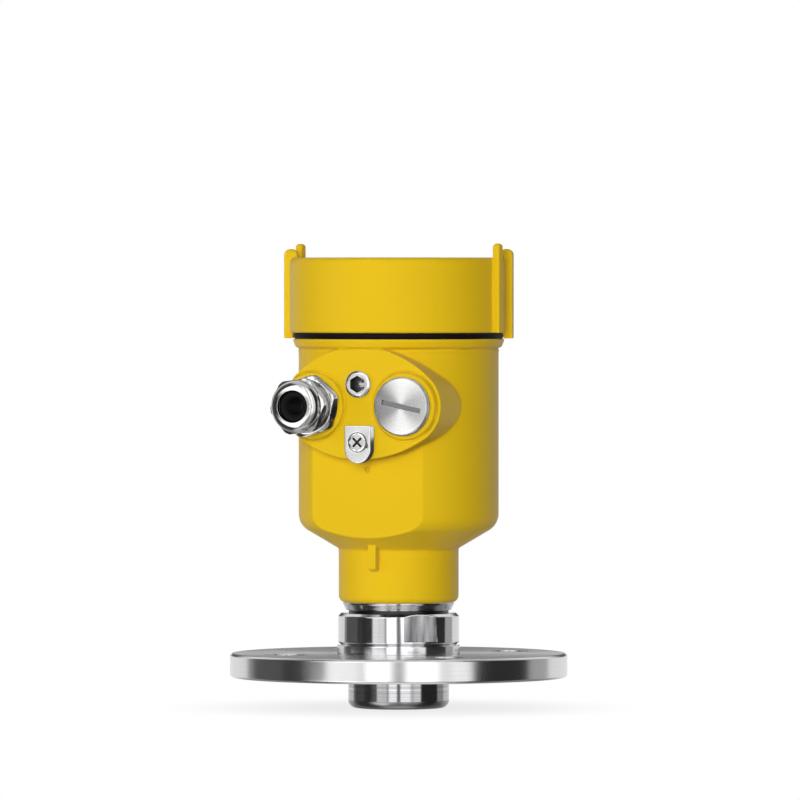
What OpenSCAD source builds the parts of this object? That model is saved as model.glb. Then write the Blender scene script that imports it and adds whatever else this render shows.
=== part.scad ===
// Radar level transmitter: a flanged process fitting with a short antenna stub,
// carrying a cast single-chamber housing that swivels on it, with a screw lid,
// a cable gland, a blanking plug, a vent plug and a ground terminal.
//
// Frame: the origin is the centre of the flange's lower sealing face, +Z runs up
// the instrument's axis, and -Y is the side with the cable entries.

/* [Mounting flange] */
// Outside diameter of the flange
flange_d = 140; // [125:1:160]
// Thickness of the flange plate
flange_t = 10; // [8:0.1:12]
// Bevel on the flange's two outer edges
flange_edge = 0.9; // [0.3:0.1:1.5]
// Diameter of the circle that the bolt holes lie on
bolt_circle_d = 100; // [96:1:108]
// Diameter of each bolt hole
bolt_hole_d = 18; // [11:0.5:19]
// Number of bolt holes
bolt_count = 4; // [4:2:8]

/* [Process fitting] */
// Diameter of the threaded stub below the flange
stub_d = 41.9; // [41:0.1:44]
// Length of the stub below the flange's sealing face
stub_l = 12.8; // [12:0.1:20]
// Size of the rounding at the stub's end
stub_round = 3.4; // [1.5:0.1:3.8]
// Diameter of the seat ring that rests on the flange
seat_d = 51; // [50:0.5:56]
// Height of the seat ring
seat_h = 3.4; // [2.5:0.1:6]
// Diameter of the round spanner section above the seat ring
grip_d = 50.2; // [49:0.1:52]
// Width across the two spanner flats
grip_af = 48; // [47.5:0.1:48.8]
// Height of the spanner section
grip_h = 13.4; // [10:0.1:18]
// Height of the full ring left below the flats
grip_foot = 2; // [1.5:0.1:3]
// Diameter of the collar that the housing turns on
collar_d = 46.2; // [45:0.1:47.4]
// Height of the collar, with the groove below it
collar_h = 4.3; // [3:0.1:6]
// Diameter of the spigot inside the housing's neck
spigot_d = 40; // [39:0.1:41]
// Height of the spigot above the collar
spigot_h = 19; // [18:0.1:20]

/* [Antenna] */
// Diameter of the antenna's mouth in the stub
mouth_d = 33; // [30:0.5:34]
// Thickness of the lens's rim
lens_rim_h = 6; // [5:0.1:8]
// How far the lens's face is set back in the mouth
lens_recess = 0.8; // [0.4:0.1:1.5]
// Length of the lens's cone above its rim
lens_cone_h = 20; // [17:0.5:21]
// Outside diameter of the waveguide tube
waveguide_d = 10.8; // [9:0.1:12]
// Wall of the waveguide tube
waveguide_wall = 1.2; // [0.8:0.1:1.6]

/* [Housing neck] */
// Outside diameter of the neck
neck_d = 49.8; // [48.6:0.1:51]
// Height of the neck's straight part
neck_h = 22.4; // [20:0.2:26]
// Height of the cone between neck and body
cone_h = 9.8; // [7:0.1:12]
// Width of the index rib on the neck
rib_w = 3.6; // [2.5:0.1:5]
// How far the index rib stands out from the neck
rib_out = 3.7; // [2.5:0.1:4.5]
// Length of the index rib below the cone
rib_l = 8.5; // [6:0.5:12]

/* [Housing body] */
// Outside diameter of the body
body_d = 83; // [82:0.5:85]
// Height from the top of the cone to the rim
body_h = 71.2; // [68:0.2:80]
// Wall of the body
body_wall = 4; // [3:0.1:4.5]
// How far the rim under the lid stands out from the body
rim_out = 2.3; // [2:0.1:2.9]
// Height of the rim, with the flare below it
rim_h = 6; // [5.5:0.1:7]
// How deep the flat front face is cut into the body
flat_depth = 8.1; // [6.5:0.1:8.5]
// Height of the lid's threaded neck above the rim
top_neck_h = 15.5; // [14:0.5:17]
// Wall of the lid's threaded neck
top_neck_wall = 3.7; // [3:0.1:4]

/* [Entry pad] */
// How far the pad's face stands out past the body
pad_out = 0.5; // [0.2:0.1:1.5]
// Distance of each cable entry from the middle
entry_x = 20.5; // [20:0.1:21.5]
// Height of the entries below the rim's top
entry_drop = 27.5; // [26:0.1:30]
// Radius of the pad's lobe round the blanking plug
pad_r = 16; // [15:0.1:17]
// Radius of the pad's lobe round the gland
pad_r_gland = 14.5; // [14.2:0.1:16]
// How far the pad reaches below the entries
pad_low = 22.1; // [20:0.1:24]
// How far the pad reaches above the entries
pad_high = 24.5; // [22:0.1:25]
// Diameter of the raised collar round each entry
entry_collar_d = 27.4; // [26.8:0.1:29]
// Height of the raised collar
entry_collar_h = 1.2; // [0.8:0.1:2]
// Nominal thread diameter of the entries
entry_thread_d = 19; // [18:0.1:20]

/* [Lid] */
// How far the lid stands out past the body
lid_out = 3.7; // [3.4:0.1:4.5]
// Height of the lid
lid_h = 31.1; // [28:0.1:36]
// Wall of the lid's top
lid_top_t = 3.6; // [3:0.1:5]
// Rounding of the lid's top edge
lid_round = 2.2; // [1:0.1:3]
// Height of the seal gap between rim and lid
seal_h = 2.5; // [2:0.1:3.5]
// Turning of the lid when it is screwed home
lid_angle = 3; // [0:1:20]
// Width of each lug rib
lug_w = 3.8; // [3:0.1:4.5]
// How far the lug ribs stand out from the lid
lug_out = 3.1; // [2.5:0.1:3.8]
// Angle between the two ribs of a lug
lug_spread = 18; // [16:1:24]
// Height of the tall rib above the lid's top
lug_tall = 5.8; // [4:0.1:8]
// Height of the low rib above the lid's top
lug_low = 3.6; // [2:0.1:3.9]

/* [Cable gland] */
// Width across flats of the gland's body
gland_af = 23; // [22:0.5:24]
// Thickness of the gland body's hexagon
gland_hex_h = 5.5; // [4:0.1:8]
// Length of thread that shows between gland body and dome nut
nut_gap = 5.3; // [0.6:0.1:6]
// Width across flats of the dome nut
dome_af = 22; // [21.5:0.5:24]
// Height of the dome nut's hexagon
dome_hex_h = 4; // [3.5:0.1:8]
// Height of the dome nut's rounded front
dome_h = 4.5; // [4.2:0.1:7]
// Diameter of the opening in the dome nut
dome_hole_d = 13.2; // [12:0.1:14]
// Diameter of the cable hole in the rubber insert
cable_d = 7; // [5:0.5:8]
// Thickness of the sealing rings under gland and plugs
ring_t = 1; // [0.8:0.1:1.5]

/* [Plugs] */
// Diameter of the blanking plug's head
plug_head_d = 24; // [22:0.1:26]
// Height of the blanking plug's head
plug_head_h = 2.2; // [2:0.1:4]
// Length of the driver slot in the head
slot_l = 17.5; // [14:0.5:19]
// Width of the driver slot
slot_w = 2; // [1.5:0.1:3]
// Diameter of the vent plug's head
vent_head_d = 11; // [10.5:0.1:13]
// Height of the vent plug above the pad
vent_rise = 9; // [8.5:0.1:11]
// Width of the land round the vent plug's socket
vent_land = 2.4; // [2.3:0.1:3]

/* [Ground terminal] */
// Distance of the ground terminal from the middle
clamp_x = 1.6; // [0:0.1:3]
// Width of the ground clamp
clamp_w = 11.6; // [10:0.1:13]
// Height of the ground clamp
clamp_h = 15.4; // [14:0.1:16.5]
// Thickness of the ground clamp
clamp_t = 3.9; // [3.5:0.1:5]
// Thickness of the base plate under the clamp
clamp_base_t = 1.4; // [1:0.1:2]

/* [Electronics] */
// Gap between the electronics cup and the chamber's wall
cup_gap = 9; // [8.5:0.1:11]
// Height of the electronics cup
cup_h = 32; // [30:0.5:36]
// Wall of the electronics cup
cup_wall = 2; // [1.5:0.1:2.5]
// Thickness of the circuit board
board_t = 1.6; // [1.2:0.1:2]
// Number of wire clamps in the terminal block
terminal_count = 4; // [2:1:5]
// Spacing of the wire clamps
terminal_pitch = 7; // [6:0.5:7.5]
// Diameter of the radar module in the spigot
module_d = 29.6; // [28:0.1:30]
// Height of the radar module
module_h = 16; // [14:0.5:17]

/* [Hidden] */
$fn = 64;

// Fits
thread_gap = 0.1;      // radial play in threads, which are drawn plain
slip_gap = 0.05;       // radial play of the swivel
lid_gap = 0.3;         // radial play between lid and threaded neck
eps = 0.5;             // overshoot of a cut past a face

// Levels of the process side, from the sealing face up
z_stub = -stub_l;
z_seat = flange_t;
z_grip = z_seat + seat_h;
z_collar = z_grip + grip_h;
z_neck = z_collar + collar_h;
z_spigot = z_neck + spigot_h;

// Levels of the housing
z_cone = z_neck + neck_h;
z_body = z_cone + cone_h;
z_rim = z_body + body_h + rim_h;
z_lid = z_rim + seal_h;
z_lid_top = z_lid + lid_h;
z_top_neck = z_rim + top_neck_h;
z_entry = z_rim - entry_drop;

// Radii
stub_r = stub_d / 2;
body_r = body_d / 2;
rim_r = body_r + rim_out;
lid_r = body_r + lid_out;
neck_r = neck_d / 2;
spigot_r = spigot_d / 2 - slip_gap;
neck_bore_r = spigot_d / 2;
chamber_r = body_r - body_wall;
top_neck_r = chamber_r + top_neck_wall;
lid_bore_r = top_neck_r + lid_gap;
entry_r = entry_thread_d / 2;

// Entry pad, flat front and chamber of the housing
front_flat = body_r - flat_depth;
pad_face = body_r + pad_out;
pad_t = 12.4;
pad_root = pad_face - 10;
lobe_lap = 0.05;       // how deep the pad's wide edges run into its lobes
chamber_front = pad_face - pad_t;
z_floor = z_body + 1.5;
passage_r = 12;
neck_ceiling = 1.5;
edge_round = 2.8;      // rounding at the foot of the neck
body_round = 8;        // rounding between cone and body
rim_lip = 0.8;         // upright edge at the top of the rim
rim_bevel = 1;
rim_bevel_h = 3.4;
rib_chamfer = 1;

// Antenna and radar module
relief_h = 1.2;        // thread relief under the flange
relief_depth = 0.6;
lens_gap = 0.1;
mouth_r = mouth_d / 2;
z_lens = z_stub + lens_recess;
z_lens_rim = z_lens + lens_rim_h;
horn_step = 2;
horn_h = 15;
waveguide_r = waveguide_d / 2;
guide_bore_r = waveguide_r + lens_gap;
guide_flange_t = 1.5;
guide_l = 10;
z_module_floor = z_grip + 10;
z_module = z_module_floor + guide_flange_t;
module_r = module_d / 2;
module_bore_r = module_r + 0.2;
plug_d = 6;
plug_l = 6;
lead_d = 3;
seal_cord = 2;
lock_groove_z = z_neck + 6;
lock_groove_w = 4.4;
lock_groove_depth = 1.6;
lock_screw_d = 4;
z_neck_seal = z_neck + 14;

// Lid threads: one turn of the lid lifts it by this pitch
lid_foot = 2.4;
lug_root = 2.2;

// Gland stations along its axis, from the pad's face out
g_seal = entry_collar_h;
g_hex = g_seal + ring_t;
g_sleeve = g_hex + gland_hex_h;
g_nut = g_sleeve + nut_gap;
g_dome = g_nut + dome_hex_h;
g_tip = g_dome + dome_h;
g_spigot_l = 11;
sleeve_r = dome_af / 2 - 1.5;
insert_r = sleeve_r - 1.6;
gland_bore_r = insert_r - 1.5;
insert_seat = g_hex + 2;
dome_round = 4;

// Plugs
plug_thread_l = 8;
plug_chamfer = 0.8;
vent_l = 9;
vent_shank_r = vent_head_d / 2 - 1.3;
vent_socket_af = vent_head_d - 2 * vent_land;
vent_seal_t = 0.6;

// Electronics levels
cup_r = chamber_r - cup_gap;
z_cup_top = z_floor + cup_h;
cover_t = 2.4;
z_cover = z_cup_top + cover_t;
board_r = cup_r - cup_wall - 0.3;
ledge_w = 1.6;
ledge_h = 6;
z_board = z_cup_top - ledge_h;
post_x = chamber_r - 3.4;
post_r = 4;
tab_t = 3;
z_post = z_cup_top - tab_t;
screw_r = 1.5;
screw_l = 7;
screw_head_r = 2.8;
screw_head_h = 1.8;
ground_post_y = chamber_r - 3;
z_ground_post = z_cup_top - 6;
ground_plate_w = 8;
ground_plate_t = 1.4;
terminal_h = 9;
terminal_depth = 12;
terminal_l = terminal_count * terminal_pitch + 3;
terminal_y = 8;
terminal_well = 5;     // height of the screw wells' floor in the block
terminal_screw_d = 4;
well_gap = 0.3;        // radial play between a terminal screw and its well
wire_hole_d = 3.4;
wire_hole_z = 3.2;
pin_count = 4;
pin_pitch = 4;
pin_d = 1.6;
pin_gap = 0.1;         // radial play of a pin in the cover
pin_rise = 1.6;        // how far a pin's barrel stands above the cover
pin_y = -14;

// Ground terminal
z_clamp_top = z_entry - 8;
z_clamp_screw = z_clamp_top - clamp_w / 2 - 1;
ground_screw_r = 2;
ground_head_r = 3.8;
ground_head_h = 2;
ground_screw_l = 7;

// Points along an arc about (x, y), from angle a to angle b.
function arc(x, y, r, a, b, n = 6) =
    [for (i = [0:n]) [x + r * cos(a + (b - a) * i / n), y + r * sin(a + (b - a) * i / n)]];

// Radius of the wide arc that reaches so far from the entries' level in the middle
// and runs into a lobe of radius r at an entry.
function wide_r(r, reach) = (entry_x * entry_x + reach * reach - r * r) / (2 * (reach - r));

// Points of the pad's edge over its upper right quarter, from the lobe to the middle.
function pad_edge(r, reach) =
    let (wide = wide_r(r, reach))
    arc(0, reach - wide, wide, atan2(wide - reach, entry_x), 90, 8);

// The same points in another quarter of the pad.
function flip(points, x, y) = [for (p = points) [x * p[0], y * p[1]]];

// The points in reverse order, without the one in the middle.
function back(points) = [for (i = [len(points) - 2:-1:0]) points[i]];

// Plain ring about the axis, between two levels.
module ring(r_out, r_in, z, h) {
    translate([0, 0, z]) difference() {
        cylinder(r = r_out, h = h);
        translate([0, 0, -eps]) cylinder(r = r_in, h = h + 2 * eps);
    }
}

// Hexagonal prism with its corners turned to a diameter and its ends chamfered.
module turned_hex(af, corner_r, h, chamfer = 0.8) {
    intersection() {
        cylinder(d = af / cos(30), h = h, $fn = 6);
        rotate_extrude() polygon([
            [0, 0], [corner_r - 2 * chamfer, 0], [corner_r, chamfer],
            [corner_r, h - chamfer], [corner_r - 2 * chamfer, h], [0, h]
        ]);
    }
}

// Places its children on the entry pad, with local +Z pointing out of the pad.
module on_pad(x, z, out = 0) {
    translate([x, -pad_face - out, z]) rotate([90, 0, 0]) children();
}

// ---------------------------------------------------------------- process side

module flange() {
    color("silver") difference() {
        rotate_extrude() polygon([
            [stub_r + thread_gap, 0], [flange_d / 2 - flange_edge, 0],
            [flange_d / 2, flange_edge], [flange_d / 2, flange_t - flange_edge],
            [flange_d / 2 - flange_edge, flange_t], [stub_r + thread_gap, flange_t]
        ]);
        for (i = [0:bolt_count - 1])
            rotate([0, 0, (i + 0.5) * 360 / bolt_count - 90])
                translate([bolt_circle_d / 2, 0, -eps])
                    cylinder(d = bolt_hole_d, h = flange_t + 2 * eps);
    }
}

// Half section of the fitting's outside.
module fitting_outline() {
    undercut = 1.2;
    grip_chamfer = 1.3;
    grip_r = grip_d / 2;
    polygon(concat(
        [[0, z_stub], [stub_r - stub_round, z_stub]],
        arc(stub_r - stub_round, z_stub + stub_round, stub_round, -90, 0),
        [
            [stub_r, -relief_h], [stub_r - relief_depth, -relief_h + 0.3],
            [stub_r - relief_depth, -0.3], [stub_r, 0],
            [stub_r, z_seat], [seat_d / 2, z_seat], [seat_d / 2, z_grip],
            [0, z_grip]
        ]
    ));
    polygon([
        [0, z_grip], [grip_r - grip_chamfer, z_grip], [grip_r, z_grip + grip_chamfer],
        [grip_r, z_collar - grip_chamfer], [grip_r - grip_chamfer, z_collar],
        [collar_d / 2 - 2 * undercut, z_collar],
        [collar_d / 2 - 2 * undercut, z_collar + undercut],
        [collar_d / 2 - undercut, z_collar + undercut],
        [collar_d / 2, z_neck - 0.6], [collar_d / 2, z_neck],
        [spigot_r, z_neck], [spigot_r, z_spigot - 0.8],
        [spigot_r - 0.8, z_spigot], [0, z_spigot]
    ]);
}

module process_fitting() {
    color("gainsboro") difference() {
        rotate_extrude() fitting_outline();
        // Two spanner flats
        for (side = [0, 180])
            rotate([0, 0, side - 45]) translate([grip_af / 2, -grip_d / 2, z_grip + grip_foot])
                cube([grip_d / 2, grip_d, grip_h]);
        // Mouth, horn and waveguide bore
        translate([0, 0, z_stub - eps]) cylinder(r = mouth_r, h = z_lens_rim - z_stub + eps);
        translate([0, 0, z_lens_rim - 0.01])
            cylinder(r1 = mouth_r - horn_step, r2 = guide_bore_r, h = horn_h);
        translate([0, 0, z_lens_rim])
            cylinder(r = guide_bore_r, h = z_module_floor - z_lens_rim + eps);
        // Chamber of the radar module
        translate([0, 0, z_module_floor]) cylinder(r = module_bore_r, h = z_spigot);
        // Grooves of the lock screw and the neck seal
        ring(spigot_r + 2, spigot_r - lock_groove_depth, lock_groove_z - lock_groove_w / 2,
            lock_groove_w);
        ring(spigot_r + 2, spigot_r - seal_cord + 0.05, z_neck_seal - 1.3, 2.6);
    }
}

module antenna_lens() {
    color("white") difference() {
        rotate_extrude() polygon([
            [0, z_lens], [mouth_r - lens_gap - 0.5, z_lens],
            [mouth_r - lens_gap, z_lens + 0.5], [mouth_r - lens_gap, z_lens_rim],
            [mouth_r - horn_step - 0.6, z_lens_rim], [1, z_lens_rim + lens_cone_h],
            [0, z_lens_rim + lens_cone_h]
        ]);
        ring(mouth_r + 1, mouth_r - seal_cord, z_lens + lens_rim_h / 2 - 1.3, 2.6);
    }
}

module antenna_seal() {
    color([0.1, 0.1, 0.1]) translate([0, 0, z_lens + lens_rim_h / 2])
        rotate_extrude() translate([mouth_r - seal_cord / 2 - 0.02, 0])
            circle(d = seal_cord - 0.04);
}

module waveguide() {
    color("goldenrod") union() {
        ring(waveguide_r, waveguide_r - waveguide_wall, z_module_floor - guide_l, guide_l);
        ring(waveguide_r + 4, waveguide_r - waveguide_wall, z_module_floor, guide_flange_t);
    }
}

module radar_module() {
    color("lightslategray") difference() {
        union() {
            translate([0, 0, z_module]) cylinder(r = module_r, h = module_h);
            translate([0, 0, z_module + module_h]) cylinder(d = plug_d + 4, h = plug_l);
        }
        translate([0, 0, z_module + module_h + 1])
            cylinder(d = plug_d + 0.3, h = plug_l);
    }
}

module neck_seal() {
    color([0.1, 0.1, 0.1]) translate([0, 0, z_neck_seal])
        rotate_extrude() translate([spigot_r - seal_cord / 2 + 0.03, 0])
            circle(d = seal_cord - 0.04);
}

// ---------------------------------------------------------------- housing

// Half section of the housing's outside.
module housing_outline() {
    turn = 90 - atan(cone_h / (body_r - neck_r));
    flare_out = rim_out - rim_bevel;
    flare_h = rim_h - rim_bevel_h;
    flare_r = (flare_out * flare_out + flare_h * flare_h) / (2 * flare_out);
    polygon(concat(
        [[0, z_neck]],
        arc(neck_r - edge_round, z_neck + edge_round, edge_round, -90, 0),
        [[neck_r, z_cone]],
        arc(body_r - body_round, z_body + body_round * tan(turn / 2), body_round, -turn, 0, 8),
        arc(body_r + flare_r, z_rim - rim_h, flare_r, 180, 180 - asin(flare_h / flare_r), 4),
        [[rim_r, z_rim - rim_lip], [rim_r, z_rim], [0, z_rim]]
    ));
}

// Outline of the entry pad: a lobe round each entry, joined by wide arcs.
module pad_outline() {
    plug_side = pad_r - lobe_lap;
    gland_side = pad_r_gland - lobe_lap;
    polygon(concat(
        pad_edge(plug_side, pad_high),
        back(flip(pad_edge(gland_side, pad_high), -1, 1)),
        flip(pad_edge(gland_side, pad_low), -1, -1),
        back(flip(pad_edge(plug_side, pad_low), 1, -1))
    ));
    translate([entry_x, 0]) circle(r = pad_r);
    translate([-entry_x, 0]) circle(r = pad_r_gland);
}

module housing_solid() {
    difference() {
        rotate_extrude() housing_outline();
        // Flat front below the pad
        translate([-body_r, -body_r - front_flat, z_cone - eps])
            cube([body_d, body_r, z_entry + pad_r / 2 - z_cone]);
    }
    // Entry pad
    on_pad(0, z_entry) translate([0, 0, -pad_root]) linear_extrude(pad_root) pad_outline();
    // Raised collar round each entry
    for (x = [-entry_x, entry_x])
        on_pad(x, z_entry) translate([0, 0, -1])
            cylinder(d = entry_collar_d, h = 1 + entry_collar_h);
    // Index rib on the neck
    index_rib();
    // Neck that the lid screws onto
    translate([0, 0, z_rim - 1]) cylinder(r = top_neck_r, h = top_neck_h + 1);
}

module index_rib() {
    front = neck_r + rib_out;
    intersection() {
        translate([-rib_w / 2, 0, 0]) rotate([90, 0, 90]) linear_extrude(rib_w) polygon([
            [-neck_r + 2, z_cone - rib_l], [-front + rib_chamfer, z_cone - rib_l],
            [-front, z_cone - rib_l + rib_chamfer], [-front, z_body],
            [-neck_r + 2, z_body]
        ]);
        rotate_extrude() polygon([
            [0, z_neck], [front + 1, z_neck], [front + 1, z_cone + cone_h / 2],
            [0, z_cone + cone_h / 2]
        ]);
    }
}

// Wiring chamber: round, with a flat front behind the entry pad.
module chamber() {
    difference() {
        translate([0, 0, z_floor]) cylinder(r = chamber_r, h = z_top_neck);
        translate([-body_r, -body_r - chamber_front, z_floor - eps])
            cube([body_d, body_r, z_rim - z_floor - 1]);
        for (side = [-1, 1])
            translate([side * post_x, 0, z_floor - 1])
                cylinder(r = post_r, h = z_post - z_floor + 1);
        translate([0, ground_post_y, z_floor - 1])
            cylinder(r = post_r, h = z_ground_post - z_floor + 1);
    }
}

module housing() {
    color([0.90, 0.74, 0.10]) difference() {
        housing_solid();
        chamber();
        // Swivel bore in the neck, and the way from it to the chamber
        translate([0, 0, z_neck - eps])
            cylinder(r = neck_bore_r, h = spigot_h + neck_ceiling + eps);
        translate([0, 0, z_neck]) cylinder(r = passage_r, h = z_floor - z_neck + 1);
        // Cable entries
        for (x = [-entry_x, entry_x])
            on_pad(x, z_entry) translate([0, 0, -pad_t - eps])
                cylinder(r = entry_r, h = pad_t + entry_collar_h + 2 * eps);
        // Vent plug's bore
        on_pad(0, z_entry + vent_rise) translate([0, 0, -pad_t - eps])
            cylinder(r = vent_shank_r, h = pad_t + 2 * eps);
        // Ground terminal's screw hole
        on_pad(clamp_x, z_clamp_screw) translate([0, 0, -ground_screw_l])
            cylinder(r = ground_screw_r + thread_gap, h = ground_screw_l + eps);
        // Dimple under the pad
        translate([0, -front_flat + 1, z_entry - pad_low - 4.2])
            rotate([90, 0, 0]) cylinder(d = 2.4, h = 2);
        // Lock screw's hole
        translate([0, neck_bore_r - 1, lock_groove_z]) rotate([-90, 0, 0])
            cylinder(d = lock_screw_d + 2 * thread_gap, h = neck_r - neck_bore_r + 2);
        // Screw holes in the inner posts
        for (side = [-1, 1])
            translate([side * post_x, 0, z_post - screw_l - 1])
                cylinder(r = screw_r + thread_gap, h = screw_l + 1 + eps);
        translate([0, ground_post_y, z_ground_post - screw_l - 1])
            cylinder(r = ground_screw_r + thread_gap, h = screw_l + 1 + eps);
    }
}

module neck_lock_screw() {
    tip = spigot_r - lock_groove_depth + 0.4;
    color("dimgray") translate([0, tip, lock_groove_z]) rotate([-90, 0, 0]) difference() {
        cylinder(d = lock_screw_d, h = neck_r - 0.5 - tip);
        translate([0, 0, neck_r - 0.5 - tip - 1.8])
            cylinder(d = 2 / cos(30), h = 2, $fn = 6);
    }
}

module signal_lead() {
    z_socket = z_module + module_h + 1.3;
    color([0.15, 0.15, 0.15]) union() {
        translate([0, 0, z_socket]) cylinder(d = plug_d, h = plug_l);
        translate([0, 0, z_socket + plug_l - 1])
            cylinder(d = lead_d, h = z_floor - z_socket - plug_l + 1);
    }
}

module electronics_cup() {
    color([0.25, 0.27, 0.30]) difference() {
        union() {
            translate([0, 0, z_floor]) cylinder(r = cup_r, h = cup_h);
            for (side = [-1, 1])
                translate([side * post_x, 0, z_post]) cylinder(r = 3.2, h = tab_t);
            translate([-post_x, -3.2, z_post]) cube([2 * post_x, 6.4, tab_t]);
        }
        translate([0, 0, z_floor + cup_wall])
            cylinder(r = cup_r - cup_wall - ledge_w, h = cup_h);
        translate([0, 0, z_board]) cylinder(r = cup_r - cup_wall, h = cup_h);
        for (side = [-1, 1])
            translate([side * post_x, 0, z_post - eps])
                cylinder(r = screw_r + thread_gap, h = tab_t + 2 * eps);
    }
}

module circuit_board() {
    chips = [[-12, -8, 9, 9], [8, -10, 12, 7], [-6, 10, 14, 6], [14, 8, 5, 5]];
    color([0.10, 0.38, 0.20]) union() {
        translate([0, 0, z_board]) cylinder(r = board_r, h = board_t);
        for (c = chips)
            translate([c[0] - c[2] / 2, c[1] - c[3] / 2, z_board + board_t - 0.1])
                cube([c[2], c[3], 2]);
    }
}

module module_cover() {
    color([0.20, 0.22, 0.25]) difference() {
        union() {
            translate([0, 0, z_cup_top]) cylinder(r = cup_r, h = cover_t);
            translate([0, 0, z_cup_top - 2]) cylinder(r = board_r, h = 2.5);
        }
        for (i = [0:pin_count - 1])
            translate([(i - (pin_count - 1) / 2) * pin_pitch, pin_y, z_cup_top - 3])
                cylinder(d = pin_d + 2 * pin_gap, h = cover_t + 4);
    }
}

module module_screws() {
    color("silver") for (side = [-1, 1])
        translate([side * post_x, 0, z_post + tab_t]) difference() {
            union() {
                translate([0, 0, -tab_t - screw_l]) cylinder(r = screw_r, h = tab_t + screw_l);
                cylinder(r = screw_head_r, h = screw_head_h);
            }
            translate([-screw_head_r + 0.8, -0.3, screw_head_h / 2])
                cube([2 * screw_head_r - 1.6, 0.6, screw_head_h]);
        }
}

module terminal_block() {
    color([0.25, 0.28, 0.32]) translate([0, terminal_y, z_cover]) difference() {
        translate([-terminal_l / 2, -terminal_depth / 2, 0])
            cube([terminal_l, terminal_depth, terminal_h]);
        for (i = [0:terminal_count - 1])
            translate([(i - (terminal_count - 1) / 2) * terminal_pitch, 0, 0]) {
                // Wire hole at the front and screw well on top
                translate([0, -terminal_depth / 2 - eps, wire_hole_z]) rotate([-90, 0, 0])
                    cylinder(d = wire_hole_d, h = terminal_depth / 2 + eps);
                translate([0, 1, terminal_well])
                    cylinder(d = terminal_screw_d + 2 * well_gap, h = terminal_h);
            }
    }
}

module terminal_screws() {
    color("silver") for (i = [0:terminal_count - 1])
        translate([(i - (terminal_count - 1) / 2) * terminal_pitch, terminal_y + 1,
            z_cover + terminal_well]) difference() {
                cylinder(d = terminal_screw_d, h = 2.4);
                translate([-terminal_screw_d / 2 - eps, -0.35, 1.6])
                    cube([terminal_screw_d + 2 * eps, 0.7, 1]);
            }
}

module contact_pins() {
    depth = 2;
    color("gold") for (i = [0:pin_count - 1])
        translate([(i - (pin_count - 1) / 2) * pin_pitch, pin_y, z_cup_top - depth]) {
            cylinder(d = pin_d, h = depth + cover_t + pin_rise);
            translate([0, 0, depth + cover_t + pin_rise]) sphere(d = pin_d);
        }
}

module inner_ground_clamp() {
    color("silver") translate([0, ground_post_y, z_ground_post]) difference() {
        translate([-ground_plate_w / 2, -post_r, 0])
            cube([ground_plate_w, post_r + 2.5, ground_plate_t]);
        translate([0, 0, -eps])
            cylinder(r = ground_screw_r + 0.2, h = ground_plate_t + 2 * eps);
    }
}

module inner_ground_screw() {
    head_r = 3;
    color("silver") translate([0, ground_post_y, z_ground_post + ground_plate_t]) difference() {
        union() {
            translate([0, 0, -ground_plate_t - screw_l])
                cylinder(r = ground_screw_r, h = ground_plate_t + screw_l);
            cylinder(r = head_r, h = screw_head_h);
        }
        translate([-head_r - eps, -0.4, screw_head_h / 2])
            cube([2 * head_r + 2 * eps, 0.8, screw_head_h]);
    }
}

// ---------------------------------------------------------------- entries

module gland_seal() {
    color([0.08, 0.08, 0.08]) on_pad(-entry_x, z_entry)
        ring(gland_af / 2, entry_r + thread_gap, g_seal, ring_t);
}

module gland_body() {
    color("silver") on_pad(-entry_x, z_entry) difference() {
        union() {
            translate([0, 0, g_hex]) rotate([0, 0, 18])
                turned_hex(gland_af, gland_af / 2 + 1.4, gland_hex_h);
            translate([0, 0, -g_spigot_l])
                cylinder(r = entry_r - thread_gap, h = g_spigot_l + g_hex + 1);
            translate([0, 0, g_sleeve - 1]) cylinder(r = sleeve_r, h = g_dome - g_sleeve);
        }
        translate([0, 0, -g_spigot_l - eps])
            cylinder(r = gland_bore_r, h = g_spigot_l + g_dome);
        translate([0, 0, insert_seat]) cylinder(r = insert_r + 0.1, h = g_dome);
    }
}

module gland_insert() {
    // Radius of the rounded lip between the cable hole and the dome nut
    lip_r = (cable_d + dome_hole_d) / 4;
    color([0.06, 0.06, 0.06]) on_pad(-entry_x, z_entry) rotate_extrude() polygon([
        [cable_d / 2, insert_seat], [insert_r, insert_seat],
        [insert_r, g_dome - 0.6], [dome_hole_d / 2 - 0.2, g_tip - 2.2],
        [lip_r + 0.3, g_tip - 1.4], [lip_r - 0.3, g_tip - 1.5],
        [cable_d / 2, g_tip - 3]
    ]);
}

module gland_nut() {
    r_hex = dome_af / 2 + 1.1;
    r_dome = dome_af / 2 - 0.2;
    color("silver") on_pad(-entry_x, z_entry) difference() {
        union() {
            translate([0, 0, g_nut]) rotate([0, 0, 7.7])
                turned_hex(dome_af, r_hex, dome_hex_h);
            rotate_extrude() polygon(concat(
                [[0, g_dome - 1], [r_dome, g_dome - 1]],
                arc(r_dome - dome_round, g_tip - dome_round, dome_round, 0, 90, 6),
                [[0, g_tip]]
            ));
        }
        translate([0, 0, g_nut - eps])
            cylinder(r = sleeve_r + thread_gap, h = dome_hex_h + eps);
        translate([0, 0, g_dome - 0.2])
            cylinder(r1 = insert_r + 0.8, r2 = dome_hole_d / 2, h = dome_h - 1.6);
        cylinder(d = dome_hole_d, h = g_tip + eps);
    }
}

module plug_seal() {
    color([0.08, 0.08, 0.08]) on_pad(entry_x, z_entry)
        ring(plug_head_d / 2 - 0.4, entry_r + thread_gap, g_seal, ring_t);
}

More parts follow.
